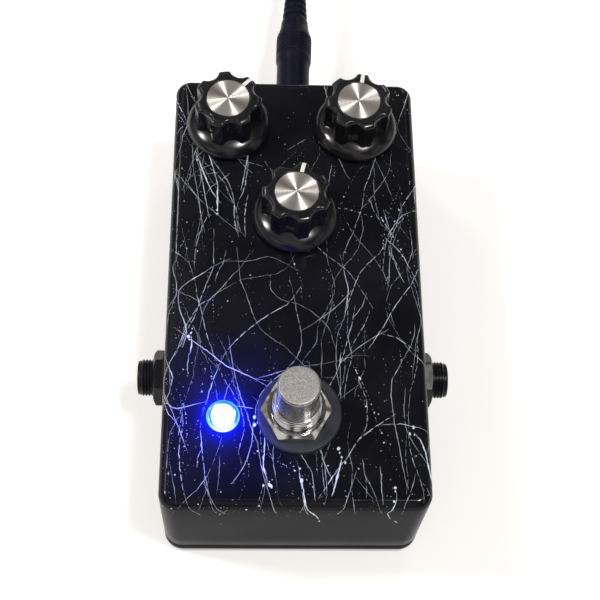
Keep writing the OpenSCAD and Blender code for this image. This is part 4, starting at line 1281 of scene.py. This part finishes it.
def add_studio():
    """A pale floor, a blurred room to reflect, square lamps one metre off and the status light's glow."""
    size = 3.0
    square = [(-size, -size, 0), (size, -size, 0), (size, size, 0), (-size, size, 0)]
    floor = new_mesh("floor", square, [(0, 1, 2, 3)])
    m = Nodes("floor", Roughness=0.8)
    m.mottle(8, 3, (0.86, 0.86, 0.87), 0.9)
    m.glow((1, 0.985, 0.97, 1), 0.36)
    floor.materials.append(m.made)
    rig.stage(new_object("floor", floor))

    room = Nodes("studio", "worlds", "Background", "Generated", Strength=1.0)
    room.set(Color=room.ramp(room.noise(2.4, 1, rough=0.5), (0.4, (0.03, 0.027, 0.027)),
                             (0.5, (0.16, 0.145, 0.13)), (0.6, (0.75, 0.7, 0.65))))
    scene.world = room.made

    for name, (x, y), size, power, color in LAMPS:
        lamp = new_lamp(name, "AREA", power, color)
        lamp.data.size = size
        lamp.location = (x, y, sqrt(1 - x * x - y * y))
        lamp.rotation_euler = lamp.location.to_track_quat("Z", "Y").to_euler()
    spot = new_lamp("light_glow", "POINT", 0.055, (0, 0.012, 1.0))
    spot.data.shadow_soft_size = 0.002
    at = middle("led_lens")
    spot.location = (at.x, at.y, TOP + 4.8 * MM)
    spot.visible_glossy = False
    scene.view_settings.view_transform = "Standard"


# ------------ putting it together

LOOKS = {    # the look of each material slot
    # lit=True gives the case paint its painted blue glow round the status light.
    "painted_case": case_paint("case_paint", lit=True),
    "painted_lid": case_paint("lid_paint", lit=False),
    "knob_black": knob_plastic(),
    "button_steel": button_metal(),
    "led_blue": lit_lens(),
    "pointer_white": plastic("pointer_paint", (0.7, 0.7, 0.68), (0.88, 0.88, 0.86), (0.4, 0.6)),
    "switch_chrome": metal("switch_chrome", (0.6, 0.6, 0.61), (0.82, 0.82, 0.83), (0.06, 0.16)),
    "bezel_chrome": lit_bezel(),
    "plug_metal": metal("plug_nickel", (0.55, 0.54, 0.5), (0.8, 0.79, 0.76), (0.1, 0.25)),
    "spring_steel": metal("spring_steel", (0.4, 0.4, 0.41), (0.66, 0.66, 0.67), (0.15, 0.3)),
    "zinc_screw": metal("zinc_plate", (0.45, 0.45, 0.46), 0.7, (0.2, 0.4)),
    "washer_grey": plastic("switch_washer", (0.012, 0.016, 0.026), (0.028, 0.034, 0.048), (0.35, 0.5),
                           ior=1.35),
    "jack_black": plastic("jack_black", (0.004, 0.004, 0.006), (0.012, 0.012, 0.018), (0.22, 0.38), ior=1.28),
    "jack_nut_black": plastic("jack_nut_black", (0.005, 0.005, 0.007), (0.014, 0.014, 0.02), (0.2, 0.36),
                              ior=1.28),
    "jack_washer_black": plastic("jack_washer_black", (0.008, 0.008, 0.01), (0.02, 0.02, 0.024), (0.4, 0.6),
                                 ior=1.25),
    "plug_black": plastic("plug_pvc", (0.003, 0.003, 0.011), (0.008, 0.008, 0.022), (0.32, 0.5), ior=1.2),
    "lead_black": plastic("lead_pvc", (0.005, 0.005, 0.011), (0.014, 0.014, 0.024), (0.35, 0.55), ior=1.3),
    "foot_rubber": plastic("foot_rubber", 0.01, 0.03, (0.6, 0.85), strength=0.4),
    "tie_black": plastic("strap_fabric", 0.01, (0.04, 0.04, 0.042), (0.8, 1.0), grain=4000, strength=0.8),
}


def finish_inside():
    """Gives every CAD node that stays visible inside the box its material. {} stands for each knob."""
    dark_bands = ((0.3, 0.02), (0.7, (0.06, 0.05, 0.05)))
    code_bands = ((0.3, (0.25, 0.02, 0.01)), (0.5, 0.02), (0.7, (0.5, 0.24, 0.02)))
    gloss, wire = (0.2, 0.35), (0.3, 0.45)
    looks = {
        "main_pcb": circuit_board(),
        "ic_chips": plastic("chip_epoxy", (0.012, 0.012, 0.013), (0.035, 0.035, 0.037), (0.5, 0.7)),
        "electrolytic_capacitors":
            plastic("capacitor_sleeve", (0.01, 0.014, 0.05), (0.02, 0.03, 0.09), gloss, coat=0.3),
        "film_capacitors":
            plastic("capacitor_film", (0.35, 0.012, 0.008), (0.5, 0.03, 0.02), gloss, coat=0.2),
        "resistors": banded("resistor_lacquer", (0.1, 0.3, 0.45), code_bands, 340),
        "diodes": banded("diode_glass", (0.4, 0.09, 0.02), dark_bands, 260),
        "jack_contacts dc_jack_contacts footswitch_lugs pot_terminals":
            metal("tinned_contact", (0.5, 0.49, 0.46), (0.75, 0.73, 0.69), (0.2, 0.4)),
        "pot_nuts pot_washers footswitch_back_nut footswitch_lock_washer knob_{}_set_screw":
            metal("inner_hardware", 0.46, 0.72, (0.2, 0.38)),
        "pot_{}_housing": metal("pot_steel", (0.4, 0.39, 0.37), (0.64, 0.62, 0.58), (0.18, 0.38)),
        "pot_{}_shaft": metal("shaft_aluminium", 0.6, 0.8, (0.2, 0.35), stretch=(1, 1, 8)),
        "footswitch_housing": plastic("switch_housing", (0.008, 0.04, 0.2), (0.016, 0.07, 0.32), wire),
        "led_wires": plastic("wire_blue", (0.01, 0.04, 0.3), (0.02, 0.08, 0.45), wire, coat=0.1),
        "signal_wires": plastic("wire_green", (0.01, 0.16, 0.04), (0.03, 0.3, 0.08), wire, coat=0.1),
        "power_wires": plastic("wire_red", (0.3, 0.01, 0.008), (0.5, 0.02, 0.015), wire, coat=0.1),
    }
    for nodes, look in looks.items():
        for node in {n.format(knob) for n in nodes.split() for knob in KNOBS}:
            bpy.data.objects[node].data.materials.clear()
            bpy.data.objects[node].data.materials.append(look.made)


add_camera()
add_lead()
add_case()
add_spatter()
add_lid()
add_screws()
add_feet()
for knob in KNOBS:
    add_knob(knob)
add_footswitch()
add_spring()
add_light()
add_jacks()
add_power_socket()
finish_inside()
add_studio()

with open("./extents.json", "w") as out:
    json.dump({"cad": [list(c) for c in cad_box], "visual": [list(c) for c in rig.bounds()]}, out)
